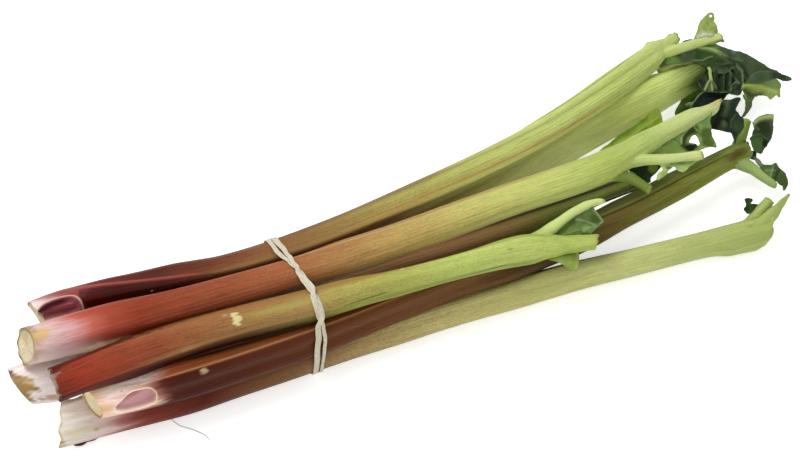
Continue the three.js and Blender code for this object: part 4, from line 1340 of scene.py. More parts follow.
# %% The nineteen scraps
# Nearly all points of the outlines, and many of the veins and folds, were printed by a program
# outside this file, which laid traced points onto each scrap's plane in half millimetres.
SCRAPS = {
    "leaf_upright_flap": {
        "at": (213.9, 50.8, 38.7), "facing": (-0.2, -0.7, 0.7),
        "outline": [(-7.5, 1), (-4.5, 5.5), (-1.5, 10), (1, 12), (3.5, 13.5), (5, 14.5), (7, 14.5),
                    (8.5, 13), (7.5, 9), (8, 7), (8.5, 3), (8.5, 0), (9.5, -2), (10.5, -4), (10, -5.5),
                    (7, -4.5), (-0.5, -3.5)],
        "holes": [[(6.5, 13.3), (7.2, 12.3), (6.2, 11.5), (5.5, 12.5)]],
        "veins": [[(-1, -2), (2, 3), (5.5, 9)]],
        "ragged": 0.05,
        "details": [
            fold([(-4.5, 2), (-1, 2.8), (4, 0.8)], 1.8, 1.6, "#c6cbb2", 0.8),
            fold([(-3, 3.4), (0, 4), (2.5, 3)], -0.8, 0.5, "#8c9876", 0.7),
            tone_and_shade_patch("#c6cbb2", (-1, 2), 2.6),
            tone_and_shade_patch("#5f7a3c", (7.5, -4), 2.5),
        ],
        "tones": {"front": "#92a657", "back": "#4c6a3a", "vein": "#a3b862", "rim": "#66763e"},
    },
    "leaf_long_dark": {
        "at": (219.9, 41.8, 32.7), "facing": (0, -0.35, 0.9),
        "outline": [(-28.5, 1), (-36, 2.5), (-40.5, 2.5), (-38, 6.5), (-31, 9.5), (-22, 12.5), (-19.5, 14),
                    (-12.5, 13), (-5, 9), (3.5, 2), (7, -0.5), (11, -3), (15.5, -7), (19.5, -11.5),
                    (22.5, -16), (25.5, -20), (28.5, -22.5), (28.5, -24.5), (23, -24), (14.5, -23),
                    (5.5, -24), (6.5, -18.5), (5.5, -15), (2.5, -13), (-3, -14), (-9.5, -11.5),
                    (-12.5, -7.5), (-16, -3.5), (-19, -0.5), (-24, 0)],
        "ragged": 0.035,
        "crumple": 0.5,
        "curl": 0.6,
        "details": [
            tone_and_shade_patch("#30441a", (-11, 0), 9),
            tone_and_shade_patch("#1f2c18", (-29, 7.5), 5),
            tone_and_shade_patch("#5f7a34", (-31, 3.2), 5),
            tone_and_shade_patch("#64804c", (-3, 6), 5),
            tone_and_shade_patch("#6c7a64", (8, -1.5), 2.2, 0.7),
            tone_and_shade_patch("#26341c", (-3.5, -7), 4),
            fold([(-12, 7), (-5, 3.5), (-0.5, -1)], 1.0, 1.1, "#9cb264", 0.9),
            fold([(-2, 0.5), (5, -6), (10.5, -10)], 0.8, 0.5, "#6c8450", 0.8),
            fold([(-19, 0), (-13, -1.5), (-10, -1), (-6, -1)], 0.8, 0.35, "#7c9868", 0.8),
            # Painted shade: the dark sunken fold is the shadow in a crease.
            fold([(4, -6), (10, -14), (10, -19.5)], -1.4, 1.6, "#1c2a1a", 0.8),
            fold([(-14, -4), (-8, -7), (0, -9)], 1.2, 1.6, "#33472c", 0.7),
        ],
        "tones": {"front": "#445436", "back": "#5c7848", "vein": "#4c5e40", "rim": "#56664a"},
    },
    "leaf_spur": {
        "at": (232.9, 16.8, 28.7), "facing": (0.1, -0.3, 0.9),
        "outline": [(-11.5, -1.5), (-8, 0), (-5.5, 2), (-2, 3.5), (2, 3.5), (6, 3), (10.5, 1), (13.5, -2),
                    (17.5, -3.5), (20, -7), (17, -7.5), (13.5, -6), (10.5, -4), (3, -3.5), (-2, -2.5),
                    (-6, -2.5)],
        "ragged": 0.03,
        "crumple": 0.3,
        "details": [
            # Painted highlight: a lighter line along the rolled top edge, with a real rise of 1.6 mm.
            fold([(-8, 0.3), (-2, 2.8), (1.5, 3.2), (6, 2.4), (13.5, -2)], 1.6, 0.5, "#56744a", 0.9),
            fold([(-8, -1), (-1, 0.8), (5, 0.4), (12, -2.6), (18.5, -6)], 2.0, 1.8),
            tone_and_shade_patch("#263220", (12.5, -3), 5.5),
        ],
        "tones": {"front": "#445639", "back": "#4c6440", "vein": "#46583a", "rim": "#4c5e3e"},
    },
    "leaf_pale_fold": {
        "at": (231.9, 12.8, 24.7), "facing": (0.2, -0.6, 0.8),
        "outline": [(-12, 4), (-9.5, 5), (-4, 5), (5.5, 3), (13, 2), (15.5, -2), (14, -4.5), (12, -6.5),
                    (11.5, -9), (10, -9), (9, -7.5), (5, -9), (3, -6.5), (0, -5), (-4, -4.5), (-6, -5),
                    (-8.5, -6.5), (-11, -6), (-12.5, -3.5), (-13, 0)],
        "ragged": 0.06,
        "details": [
            tone_and_shade_patch("#8ca664", (9, 1), 5.5),
            tone_and_shade_patch("#6c8444", (0, 3), 3.5),
            fold([(-9, 3), (0, 0), (11, -7)], 2.0, 2.2, "#94a650", 0.9),
            fold([(5, -3), (9, -5.5)], 0.6, 1.4, "#a8b870", 0.9),
            # Painted shade in the sunken fold.
            fold([(-10.5, 1), (-6, -3), (0, -4.5)], -1.6, 1.5, "#3c4c26", 0.9),
            tone_and_shade_patch("#44582a", (-9, -4.5), 4),
        ],
        "tones": {"front": "#86994a", "back": "#54703c", "vein": "#a0b068", "rim": "#84964e"},
    },
    "leaf_hanging_bit": {
        "at": (222.9, 11.8, 18.7), "facing": (-0.3, -0.7, 0.6),
        "outline": [(-1, 4), (1.5, 0.5), (5, 0), (3.5, -2), (2.5, -5), (0, -7.5), (-3, -9.5), (-5, -9.5),
                    (-2.5, -6.5), (-1, -3), (-1, 1)],
        "ragged": 0.04,
        "details": [fold([(1, 0), (0.8, -4), (-4, -9)], 1.2, 1.2, "#52643e", 0.6)],
        "tones": {"front": "#62744c", "back": "#465a36", "vein": "#728856", "rim": "#3c4c30"},
    },
    "leaf_crumpled": {
        "at": (212.9, 28.8, 27.7), "facing": (-0.1, -0.4, 0.9),
        "outline": [(-5.5, 9), (0, 8), (6.5, 5.5), (13, 3.5), (14.5, -0.5), (13.5, -6), (11, -10.5),
                    (9, -14), (6.5, -16), (4, -15), (1.5, -13.5), (-1, -11.5), (-5, -9.5), (-11.5, -7),
                    (-14, -5), (-14.5, -1.5), (-13, 2.5), (-9, 6.5)],
        "ragged": 0.04,
        "crumple": 1.0,
        "details": [
            # Painted shade and light: the sunken folds are near black, as shade in the creases, and the
            # raised folds between them a little lighter, as lit crests.
            fold([(2, 4), (0.5, 0), (-3.5, -7.5)], -1.8, 1.5, "#121c12", 0.85),
            fold([(4, 2.5), (2.2, -2), (-1, -8.5)], 1.2, 0.9, "#364628", 0.8),
            fold([(5.2, 2.5), (4.2, -2), (1, -9)], -1.6, 1.1, "#162014", 0.8),
            fold([(7, 1), (6, -3), (3, -8.5)], 1.2, 0.9, "#42543a", 0.8),
            fold([(9, 0.5), (8.4, -4), (6, -8.5)], -1.4, 1.1, "#121c12", 0.85),
            fold([(6.5, 1), (8, -4), (9.5, -8)], 0.9, 0.4, "#5c7650", 0.8),
            fold([(2.5, -11.5), (4.5, -8.5), (8, -7), (9.5, -9)], 0.9, 0.4, "#6f8a60", 0.8),
            fold([(12.2, 2.5), (13.7, -2.5), (11.8, -9), (9.3, -13)], 1.2, 0.4, "#6f8a60", 0.85),
            tone_and_shade_patch("#182010", (-12.5, 1), 3.4),
            tone_and_shade_patch("#56743a", (-8, -5), 2.8),
            fold([(-6, -0.5), (-9, -2.5), (-12, -5.5)], 1.6, 0.7, "#acb878", 0.95),
            fold([(-6, -0.5), (-7, -4), (-8, -7.5)], 1.6, 0.6, "#a3b876", 0.95),
            fold([(-5.5, -0.5), (-5.2, -4.5), (-4.6, -7.5)], 1.2, 0.4, "#8ba35f", 0.9),
        ],
        "tones": {"front": "#2c3a22", "back": "#54703c", "vein": "#34442c", "rim": "#64784e"},
    },
    "leaf_low_flap": {
        "at": (200.9, 23.8, 17.7), "facing": (-0.1, -0.5, 0.85),
        "outline": [(-13, 0.5), (-11, 0.5), (-8, 0), (-4, 2.5), (-0.5, 4), (2.5, 4.5), (6, 4), (10.5, 2.5),
                    (14.5, 1), (17.5, -1), (15.5, -2.5), (13.5, -3), (11.5, -4.5), (9.5, -5.5), (2, -6),
                    (-5, -5.5), (-9.5, -4), (-12.5, -1.5)],
        "ragged": 0.04,
        "details": [
            fold([(-12.5, -0.5), (-8.5, -1), (-4.5, 1.5), (-0.5, 3.5), (2.5, 4), (8, 3), (14.5, 0.5),
                  (17, -1)],
                 1.5, 0.5, "#869e72", 0.9),
            tone_and_shade_patch("#7c9468", (-9.5, -0.8), 1.8),
        ],
        "tones": {"front": "#18231d", "back": "#6b8a4a", "vein": "#2a3a2c", "rim": "#7c9468"},
    },
    "leaf_dark_strip": {
        "at": (191.9, 27.8, 11.7), "facing": (-0.2, -0.6, 0.8),
        "outline": [(14.5, 9), (11.5, 10), (6, 8), (-0.5, 6), (-4.5, 2), (-9, -2.5), (-8, -5.5), (-4.5, -5),
                    (0.5, -4.5), (5.5, -2.5), (12, 2), (15, 6)],
        "ragged": 0.02,
        "crumple": 0.3,
        # Painted shade: the dark tone along the sunken fold.
        "details": [fold([(12, 4), (5.5, 1.5), (-2, -2.5), (-6, -4.5)], -1.2, 2.0, "#30461a", 0.8)],
        "tones": {"front": "#5a7820", "back": "#4b6838", "vein": "#68862e", "rim": "#60802c"},
    },
    "leaf_broad_tip": {
        "at": (193.9, -12.2, 41.7), "facing": (0.1, -0.4, 0.9),
        "outline": [(-4, 6.5), (-0.5, 7.5), (3, 9), (8.5, 8), (13.5, 7), (10.5, 4), (8, 1.5), (8.5, -1),
                    (8.5, -3.5), (9.5, -4), (10, -7), (7.5, -11), (4, -13.5), (0.5, -16), (-1.5, -19),
                    (-1.5, -15), (-2, -11.5), (-5.5, -9.5), (-9, -7.5), (-12.5, -6), (-12.5, -3.5),
                    (-11, -0.5), (-8, 2.5)],
        "ragged": 0.03,
        "crumple": 0.9,
        "details": [
            fold([(4.5, 7.5), (0.5, 2), (-4, -6)], 1.4, 1.8, "#4c5c3c", 0.8),
            # Painted shade in the two sunken folds.
            fold([(-4, 4), (-6, -1), (-9.5, -5.5)], -1.4, 1.6, "#131c12", 0.8),
            fold([(-3.5, -1), (1.5, -4)], -1.2, 1.6, "#131c12", 0.8),
            fold([(6.5, -1.5), (2, -4.5), (-0.5, -9)], 0.8, 0.35, "#4f6650", 0.8),
            tone_and_shade_patch("#304226", (4.5, -9), 4.5),
        ],
        "tones": {"front": "#20301f", "back": "#6b8a4a", "vein": "#304030", "rim": "#40503a"},
    },
    "leaf_broad_window": {
        "at": (150.9, -23.2, 44.7), "facing": (0, -0.3, 0.95),
        "outline": [(-24, 6), (-10.5, 7), (3, 8.5), (18.5, 10), (32.5, 11.5), (30, 7), (28.5, 2), (27.5, 0),
                    (26.5, -4.5), (26, -10.5), (23, -9.5), (19, -9), (13.5, -9), (2.5, -8), (-6.5, -5.5),
                    (-19.5, -1), (-25.5, 2.5)],
        "holes": [[(17, 1), (18, -2), (17.5, -5), (15.5, -6.5), (14.5, -4.5), (12, -2.5), (13.5, -0.5)]],
        "ragged": 0.03,
        "crumple": 0.4,
        "details": [
            tone_and_shade_patch("#6c8840", (3, -0.5), 6),
            tone_and_shade_patch("#9cbc70", (-9, 3), 5),
            tone_and_shade_patch("#3c4a26", (18, 4.2), 3.4),
            fold([(1.5, 5.5), (4, 1), (7.2, -2.5)], 0.9, 0.4, "#a3bc72", 0.9),
            # Painted shade in the sunken fold beside the raised one.
            fold([(2.5, 4.2), (5, 0.5), (7.6, -3.5)], -0.8, 0.5, "#40622c", 0.8),
            fold([(-9, 1.5), (-4, 0), (3, 3)], 0.8, 0.4, "#86a258", 0.7),
            # Painted shade in the long sunken fold.
            fold([(19.5, 4.5), (16, 4.2), (12, 2.5), (9.5, -1), (9, -4)], -1.8, 2.1, "#343d22", 0.95),
            fold([(18, 7), (13, 5), (9, 2), (7.4, -1.5)], 1.4, 0.5, "#9ab46c", 0.9),
            fold([(19.5, 1.5), (20.5, -2.5), (19, -6.5)], 0.8, 1.0, "#4d6533", 0.8),
            fold([(19, 7), (20, 3.5), (21.5, 0)], 0.9, 0.3, "#9ab070", 0.9),
            tone_and_shade_patch("#3c5020", (24.5, -0.5), 4.5),
            tone_and_shade_patch("#3f5818", (22.8, -6.5), 3.8),
            # Painted shade: a near-black patch, the shadow in a dark hollow of the scrap.
            fold([(9, -5.6), (12, -6.4), (14, -6)], 2.0, 1.7, "#0c1408", 1),
            tone_and_shade_patch("#0c1408", (10.6, -5.6), 3, 1),
            tone_and_shade_patch("#5f8048", (27, 7), 4),
        ],
        "tones": {"front": "#809a4a", "back": "#3f5a35", "vein": "#96ac5e", "rim": "#445426"},
    },
    "leaf_under_vein": {
        "at": (146.9, -38.2, 44.7), "facing": (-0.1, -0.6, 0.8),
        "outline": [(-10.5, 4.5), (-1.5, 3), (13.5, 0), (12, -2.5), (8.5, -3.5), (4, -5.5), (0.5, -3.5),
                    (-1.5, -1), (-5, -2), (-6, -3.5), (-12.5, -5.5), (-13, -3.5), (-11, -1.5), (-8, -0.5),
                    (-8.5, 2)],
        "ragged": 0.04,
        "details": [
            fold([(-12, -4), (-9, -1.5), (-6.5, -1.5)], 1.4, 1.2, "#b3bc74", 0.9),
            fold([(-5, -0.4), (-1.5, -1.6)], 1, 0.9, "#1b2616", 0.95),
            fold([(-1.5, -0.7), (1.5, -3), (4, -5)], 1, 0.35, "#a9bd80", 0.9),
            # Painted shade in the sunken fold.
            fold([(-2, 1.8), (5, 0), (11, -1.2)], -0.8, 0.9, "#6c8a44", 0.7),
        ],
        "tones": {"front": "#b4cc7e", "back": "#4b6838", "vein": "#b0c47e", "rim": "#98ae66"},
    },
    "leaf_under_fork": {
        "at": (128, -31.2, 39.7), "facing": (0, -0.5, 0.85),
        "outline": [(-7.5, 7.5), (2.5, 5), (13.5, 1.5), (14, -1), (9.5, -3.5), (5, -5.5), (3.5, -8),
                    (1, -7), (-1.5, -3), (-5, 1.5), (-8.5, 5)],
        "ragged": 0.04,
        "details": [tone_and_shade_patch("#728a2a", (8.5, -0.5), 3.4)],
        "tones": {"front": "#1a2c12", "back": "#4b6838", "vein": "#2a3c26", "rim": "#3c5030"},
    },
    "leaf_bright_flat": {
        "at": (146.9, 5.8, 31.7), "facing": (-0.1, -0.4, 0.9),
        "outline": [(-29, -5.5), (-16.5, -1), (2, 4), (13.5, 8), (15.5, 6.5), (15.5, 3), (13, -4),
                    (4.5, -5.5), (-12.5, -8), (-27, -8.5)],
        "ragged": 0.02,
        "crumple": 0.3,
        "curl": 0.4,
        "details": [
            # Painted shade in the sunken fold.
            fold([(-20, -3), (-6, 0.5), (6, 4)], -0.6, 1.6, "#5d7a20", 0.7),
            fold([(-22, -6), (-4, -2.5), (13, 2)], 0.6, 0.8, "#8fae3c", 0.8),
        ],
        "tones": {"front": "#869a34", "back": "#6f8f34", "vein": "#98ac48", "rim": "#748a30"},
    },
    "leaf_short_window": {
        "at": (79, -60.2, 43.2), "facing": (0, -0.3, 0.95),
        "outline": [(-22, 0.5), (-18.5, 4.5), (-13, 7.5), (-5, 10), (0.5, 11.5), (8.5, 11.5), (9.5, 9),
                    (10.5, 6.5), (11, 3.5), (11.5, 0), (9, -1), (6.5, -2), (3, -3.5), (0, -5), (-9.5, -2.5),
                    (-18.5, -1)],
        "ragged": 0.05,
        "details": [
            tone_and_shade_patch("#6c8038", (-10, 3.5), 3.6),
            tone_and_shade_patch("#3c4f1a", (7.8, 3), 3.6),
            tone_and_shade_patch("#849c58", (0, -0.8), 3),
            # Painted shade in the sunken fold.
            fold([(-17.5, 1), (-11.5, 3.5), (-3.5, 6.5)], -1.2, 1.6, "#3f5420", 0.7),
            fold([(-3, 6.5), (1.5, 3.5), (6, 0)], 1.0, 0.45, "#8ca070", 0.9),
            fold([(-15, 0), (-9.5, 0), (-4, 0)], 0.9, 0.4, "#8aa05c", 0.8),
            fold([(9, 8), (10.4, 3.5), (10.9, 0.3), (8.5, -0.7)], 1.2, 0.5, "#8ea072", 0.9),
            fold([(-1, -1.5), (3, -0.7), (6.5, -1.5)], 1.0, 0.6, "#8ca070", 0.7),
            # Painted shade in this sunken fold too.
            fold([(-3, -2.9), (1, -3.9)], -0.8, 0.6, "#1f3016", 0.9),
        ],
        "tones": {"front": "#5a7038", "back": "#3f5a35", "vein": "#728a4c", "rim": "#788e56"},
    },
    "leaf_short_low": {
        "at": (61, -73.2, 37.7), "facing": (0.1, -0.5, 0.85),
        "outline": [(-11, 5), (-5.5, 5.5), (1, 5), (8.5, 3), (4.5, -6.5), (1.5, -7), (-1, -5.5), (-5, 0),
                    (-7.5, 2)],
        "ragged": 0.05,
        "details": [
            fold([(8, 2.6), (6, -2), (4, -6)], 0.8, 0.5, "#a89c6c", 0.8),
            # Painted shade in the sunken fold.
            fold([(-8, 4.4), (-2, 4), (6, 2.6)], -0.8, 0.9, "#527030", 0.7),
        ],
        "tones": {"front": "#94a852", "back": "#4b6838", "vein": "#9eb05e", "rim": "#84984a"},
    },
    "leaf_grooved_top": {
        "at": (216.9, -20.2, 21.7), "facing": (0.3, -0.5, 0.8),
        "outline": [(-10.5, 0.5), (-7, 2.5), (-4.5, 6), (-5, 9), (0, 11), (5, 11.5), (9.5, 11), (13, 9.5),
                    (12, 5.5), (9.5, 1.5), (5.5, -2.5), (1, -6.5), (-3.5, -9), (-6.5, -10.5), (-9, -8.5),
                    (-10.5, -5.5), (-11, -2)],
        "ragged": 0.05,
        "crumple": 0.9,
        "details": [
            tone_and_shade_patch("#46682c", (-7, -4.5), 5),
            tone_and_shade_patch("#243218", (2.5, 4), 5),
            tone_and_shade_patch("#141f12", (0, -5), 2.5),
            fold([(-4, 8.5), (0.5, 10), (5.5, 10), (11.5, 9)], 1.6, 1.3, "#b2c276", 0.9),
            fold([(-3.5, 7.5), (-2, 4)], 1.2, 0.7, "#56743c", 0.8),
            fold([(-8, 1.5), (-2, 1), (2, -3)], 1.0, 0.4, "#56743c", 0.7),
        ],
        "tones": {"front": "#324424", "back": "#6b8a4a", "vein": "#465e2e", "rim": "#5c703e"},
    },
    "leaf_grooved_small": {
        "at": (207.9, -25.2, 15.7), "facing": (0.2, -0.7, 0.7),
        "outline": [(-4, 8), (-1.5, 6.5), (-1.5, 2), (1.5, 0.5), (2.5, -1.5), (0, -4.5), (-3.5, -3),
                    (-5, 0), (-5, 4)],
        "tones": {"front": "#26391f", "back": "#4b6838", "vein": "#3c5530", "rim": "#3f5830"},
    },
    "leaf_grooved_low": {
        "at": (212.9, -48.2, 13.7), "facing": (0.1, -0.4, 0.9),
        "outline": [(-10, 17), (-7.5, 15.5), (-6, 11.5), (-3, 9.5), (0, 9), (3.5, 9), (4, 5.5), (6, 2),
                    (6, -2), (4.5, -5.5), (1, -8), (1, -5.5), (-1, -3.5), (-4.5, 0), (-6, 4), (-7.5, 9)],
        "ragged": 0.06,
        "crumple": 0.9,
        "details": [
            tone_and_shade_patch("#627c3c", (-4, 5), 3.6),
            tone_and_shade_patch("#3c5626", (3, -1.5), 4),
            tone_and_shade_patch("#728260", (-7.5, 13), 3.4),
            fold([(0.5, 8), (-2, 4.5), (-4.5, 1.5)], 1.2, 0.4, "#8ca578", 0.85),
            fold([(-5, 6.5), (0.5, 5)], 1.0, 0.4, "#8ca578", 0.7),
            # Painted shade in the sunken fold.
            fold([(-1, 0.5), (3.5, 4.5)], -1.2, 0.8, "#22321a", 0.7),
        ],
        "tones": {"front": "#445a2e", "back": "#6b8a4a", "vein": "#5a7040", "rim": "#4c6036"},
    },
    "leaf_floor_small": {
        "at": (185.9, -63.2, 15.7), "facing": (-0.1, -0.7, 0.7),
        "outline": [(-1.5, 6), (1, 5.5), (3, 4), (1.5, 2), (7, -1), (3.5, -4), (1, -5), (-2.5, -3), (-4, 0.5),
                    (-1.5, 3)],
        "crumple": 0.9,
        "tones": {"front": "#2e421c", "back": "#5d7a45", "vein": "#4a6030", "rim": "#4f6434"},
    },
}

# %% [markdown]
# ## The blade's material
#
# A blade is dark and puckered above and pale below, so each face looks up which side it is on.
# Blender has no leaf shader, but a little light under the skin, a fine net of veins from a cell
# pattern, and a bump from the same pattern come close.

# %% The blade material
NET_SCALE = 420.0            # cells of the finest vein net, about 2 mm across
PUCKER_SCALE = 260.0
SPECK_SCALE = 1500.0
CLOUD_SCALE = 160.0
FRAY_SCALE = 500.0           # how finely a torn rim is frayed


def blade_material(name, tones):
    t = Tree(name)
    flat = t.attribute("flat", "Vector")
    cloud = t.noise(flat, CLOUD_SCALE, 3.0)
    shade = t.math("MULTIPLY_ADD", t.fade(cloud, 0.3, 0.7), 0.35, 0.8)
    base = t.mix(t.attribute("front"), tones["back"], tones["front"])
    base = t.mix(1.0, base, t.node("ShaderNodeCombineColor", 0, {0: shade, 1: shade, 2: shade}), "MULTIPLY")
    gap = t.node("ShaderNodeTexVoronoi", "Distance", {"Vector": flat, "Scale": NET_SCALE},
                 feature="DISTANCE_TO_EDGE")
    threads = t.fade(gap, 0.09, 0.0)
    base = t.mix(t.math("MULTIPLY", threads, 0.2), base, tones["vein"])
    specks = t.fade(t.noise(flat, SPECK_SCALE, 2.0), 0.6, 0.75)
    base = t.mix(t.math("MULTIPLY", specks, 0.25), base, tones["rim"])
    base = t.mix(t.attribute("paint", "Alpha"), base, t.attribute("paint", "Color"))
    base = t.mix(t.math("MULTIPLY", t.attribute("vein"), 0.7), base, tones["vein"])
    frayed = t.math("MULTIPLY", t.attribute("rim"), t.fade(t.noise(flat, FRAY_SCALE, 2.0), 0.35, 0.6))
    base = t.mix(t.math("MULTIPLY", frayed, 0.8), base, tones["rim"])
    t.feed(t.shader.inputs["Base Color"], base)

    cells = t.node("ShaderNodeTexVoronoi", "Distance", {"Vector": flat, "Scale": PUCKER_SCALE},
                   feature="SMOOTH_F1")
    height = t.math("ADD", t.math("MULTIPLY", cells, -0.8), t.math("MULTIPLY", threads, -0.15))
    t.relief(0.6, 0.6 * MM, height)
    t.feed(t.shader.inputs["Roughness"], t.math("MULTIPLY_ADD", cloud, 0.2, 0.4))
    t.shader.inputs["Specular IOR Level"].default_value = 0.12
    t.soften(0.1, (0.6, 1.0, 0.3), 0.5 * MM)
    return t.material


# %% Placing the scraps
FIRST_SCRAP_SEED = 200
SEEDS_PER_SCRAP = 7

for number, (name, spec) in enumerate(SCRAPS.items()):
    scrap = shape_scrap(name + "_blade", spec, FIRST_SCRAP_SEED + SEEDS_PER_SCRAP * number)
    scrap.data.materials.clear()
    scrap.data.materials.append(blade_material(name + "_blade", spec["tones"]))
    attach(scrap, "root")
    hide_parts(name)
    print(name, "faces:", len(scrap.data.polygons))

# %% [markdown]
# ## The rubber band
#
# A real band is one loop that goes round twice. Here it is two closed strands, which lie side by
# side, cross and twist. They follow the convex hull of the stalks where the band sits, because a
# tight band bridges the gaps between them. Each strand is a grid rolled both ways: once round its
# flat section and once round the loop. A few keys say how far the band has slid and turned at
# each bearing.

# %% The loop that the band follows
BAND_PLACE = -91 * MM
BAND_REACH = 6 * MM
LOOP_STEPS = 560
BAND_ROUNDING = 9            # how many steps the loop's corners are smoothed over

near_band = []
for stalk_name in STALKS:
    skin_corners = read_corners(bpy.data.objects[stalk_name + "_skin"])
    near_band.append(skin_corners[np.abs(skin_corners[:, 0] - BAND_PLACE) < BAND_REACH][:, 1:])
near_band = np.vstack(near_band)
order = mathutils.geometry.convex_hull_2d([Vector(corner) for corner in near_band])
hull = near_band[order]
hull = np.vstack([hull, hull[:1]])
heart_of_loop = (near_band.min(axis=0) + near_band.max(axis=0)) / 2
hull_reach = np.concatenate([[0], np.cumsum(np.linalg.norm(np.diff(hull, axis=0), axis=1))])
even = np.linspace(0, hull_reach[-1], LOOP_STEPS, endpoint=False)
loop = np.stack([np.interp(even, hull_reach, axis) for axis in hull.T], -1)
for _ in range(BAND_ROUNDING):
    loop = (np.roll(loop, 1, 0) + 2 * loop + np.roll(loop, -1, 0)) / 4
loop_ahead = Line.unit(np.roll(loop, -1, 0) - np.roll(loop, 1, 0))
loop_out = np.stack([loop_ahead[:, 1], -loop_ahead[:, 0]], -1)
loop_out = loop_out * np.sign(((loop - heart_of_loop) * loop_out).sum(-1, keepdims=True))
loop_bearing = np.degrees(np.arctan2(*(loop - heart_of_loop).T[::-1])) % 360
print("band loop, in mm:", round(hull_reach[-1] / MM))

# %% The two strands
STRAND_THICKNESS = 0.9
STRAND_AROUND = 24
STRAND_SEEDS = (31, 37)
STRETCH_SCALE = 700.0        # marks of stretching in the rubber
DUST_SCALE = 2600.0
SLIDE_KEYS = [(0, 0), (80, 0.4), (100, 1.4), (110, 3.2), (120, 4), (132, 5.5), (150, 5.6), (170, 4.2),
              (190, 2.5), (210, 1.5), (250, 0.4), (360, 0)]
TURN_KEYS = [(0, 0), (84, 0), (104, 70), (116, 180), (130, 210), (140, 330), (152, 380), (163, 540),
             (232, 540), (262, 720), (360, 720)]
APART_KEYS = [(0, 3.4), (50, 3.4), (70, 4.2), (84, 3.2), (100, 2), (120, 1.2), (140, 2.2), (155, 2),
              (166, 3.2), (180, 4.4), (205, 3.6), (300, 3.4), (360, 3.4)]
WIDTH_KEYS = [((0, 3.3), (60, 3.3), (80, 2.6), (110, 2.9), (140, 3.2), (165, 3.2), (190, 3.4), (215, 3.3),
               (360, 3.3)),
              ((0, 3.3), (60, 2.6), (110, 2.8), (140, 3.2), (165, 2.2), (200, 2.0), (225, 2.8), (360, 3.3))]


def strand(name, side, seed):
    """One strand of the band; side is -1 or 1."""
    piece, column, row = paper_grid(name, LOOP_STEPS, STRAND_AROUND)
    number = column % LOOP_STEPS
    bearing = loop_bearing[number]
    angle = 2 * np.pi * row / STRAND_AROUND
    around = number / LOOP_STEPS
    turn = np.radians(value_at(*zip(*TURN_KEYS), bearing))
    apart = value_at(*zip(*APART_KEYS), bearing) / 2
    keys = WIDTH_KEYS[0 if side > 0 else 1]
    still = np.zeros(len(around))
    width = value_at(*zip(*keys), bearing) + 0.15 * ripple(seed, still, around, 1, 24)
    cosine, sine = np.cos(angle), np.sin(angle)
    wide = width / 2 * np.sign(cosine) * np.abs(cosine) ** 0.6
    thick = STRAND_THICKNESS / 2 * np.sign(sine) * np.abs(sine) ** 0.8
    roll = side * np.radians(28) * np.sin(turn) + 0.12 * ripple(seed + 1, still, around, 1, 18)
    sideways = side * apart * np.cos(turn) + wide * np.cos(roll) - thick * np.sin(roll)
    sideways = sideways + value_at(*zip(*SLIDE_KEYS), bearing)
    over = side * np.sin(turn) + np.abs(np.sin(turn))
    lift = 0.65 + 0.6 * over + wide * np.sin(roll) + thick * np.cos(roll)
    flat = loop[number] + loop_out[number] * lift[:, None] * MM
    corners = np.column_stack([BAND_PLACE + sideways * MM, flat])
    corners[:, 2] = np.maximum(corners[:, 2], low.z + 0.1 * MM)
    write_corners(piece, corners)
    close_tube()
    return piece


def band_material():
    t = Tree("band_rubber")
    place = t.node("ShaderNodeTexCoord", "Object")
    stretch = t.noise(place, STRETCH_SCALE, 3.0, 0.6)
    dust = t.noise(place, DUST_SCALE, 2.0)
    tone = t.mix(t.fade(stretch, 0.35, 0.7), "#c4bda6", "#d8d1bb")
    tone = t.mix(t.math("MULTIPLY", t.fade(dust, 0.55, 0.7), 0.35), tone, "#9a937c")
    t.feed(t.shader.inputs["Base Color"], tone)
    t.feed(t.shader.inputs["Roughness"], t.math("MULTIPLY_ADD", stretch, 0.2, 0.5))
    relief = t.math("ADD", stretch, t.math("MULTIPLY", dust, 0.4))
    t.relief(0.4, 0.2 * MM, relief)
    t.soften(0.12, (1.0, 0.8, 0.6), 0.8 * MM)
    return t.material


band = strand("rubber_band_loop", -1, STRAND_SEEDS[0])
other_strand = strand("other_strand", 1, STRAND_SEEDS[1])
deselect_all()
other_strand.select_set(True)
band.select_set(True)
bpy.context.view_layer.objects.active = band
bpy.ops.object.join()
band.data.materials.append(band_material())
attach(band, "root")
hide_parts("rubber_band")
print("band faces:", len(band.data.polygons))

# %% [markdown]
# ## The dry bud scale and the root hair
#
# The brown papery scale under the lowest stalk is one more scrap, cut from the same sheet but
# curled harder and coloured like dry paper. The root hair is a thin thread: a curve with a round
# bevel, made into a mesh.

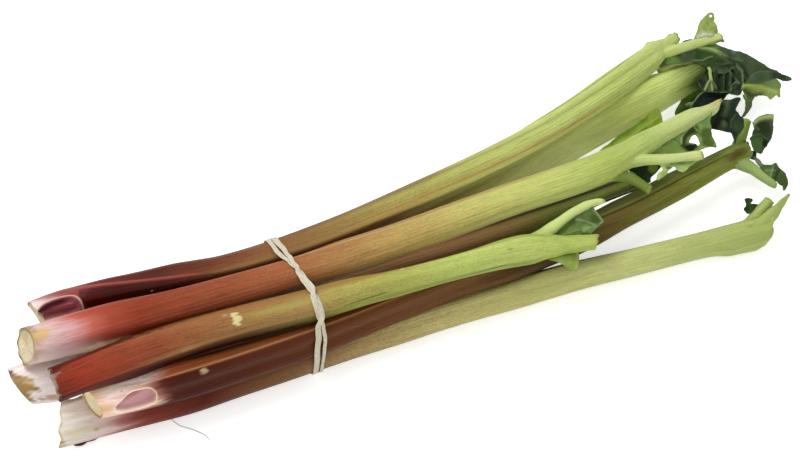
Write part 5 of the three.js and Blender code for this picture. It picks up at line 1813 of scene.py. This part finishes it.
# %% The dry scale
SCALE_SEED = 400
SCALE = {
    "at": (-222, -60, 1.4), "facing": (0, -0.2, 1),
    "outline": [(-9.5, 0.5), (-5, 2.2), (0, 3.4), (7, 3.8), (14, 2.8), (18, 1.2), (13, 0.4), (5, -0.6),
                (-2, -1.4), (-7, -1.8)],
    "crumple": 0.25, "blister": 0.1, "curl": 1.0, "ragged": 0.05,
    "bends": [((0, 2), 75, 2.5, 60)],
    "tones": {"front": "#4c4234", "back": "#6b5a44", "vein": "#2c241a", "rim": "#8c7c60"},
}
scale = shape_scrap("dry_scale_paper", SCALE, SCALE_SEED)
scale.data.materials.clear()
scale.data.materials.append(blade_material("dry_scale_paper", SCALE["tones"]))
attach(scale, "root")
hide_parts("dry_scale")

# %% The root hair
HAIR_RADIUS = 0.22 * MM
HAIR_TONE_SCALE = 300.0
HAIR_POINTS = [(-178.5, -61, 5), (-176.5, -63.5, 1.8), (-173.5, -70.5, 0.6), (-168.5, -73.5, 0.5),
               (-163.5, -79.5, 0.5), (-161.5, -82, 0.6), (-161, -85.5, 0.5)]
deselect_all()
hair_curve = bpy.data.curves.new("root_hair", "CURVE")
hair_curve.dimensions = "3D"
hair_curve.bevel_depth = HAIR_RADIUS
hair_curve.bevel_resolution = 3
hair_curve.use_fill_caps = True
thread = hair_curve.splines.new("NURBS")
thread.points.add(len(HAIR_POINTS) - 1)
for point, place in zip(thread.points, HAIR_POINTS):
    point.co = (*(Vector(place) * MM), 1)
thread.use_endpoint_u = True
thread.order_u = 4
hair = bpy.data.objects.new("root_hair", hair_curve)
bpy.context.scene.collection.objects.link(hair)
hair.select_set(True)
bpy.context.view_layer.objects.active = hair
bpy.ops.object.convert(target="MESH")
hair_paint = Tree("root_hair")
hair_tone = hair_paint.noise(hair_paint.node("ShaderNodeTexCoord", "Object"), HAIR_TONE_SCALE)
hair_paint.feed(hair_paint.shader.inputs["Base Color"], hair_paint.mix(hair_tone, "#b4aca0", "#dcd6ca"))
hair_paint.shader.inputs["Roughness"].default_value = 0.6
hair.data.materials.append(hair_paint.material)
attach(hair, "root")
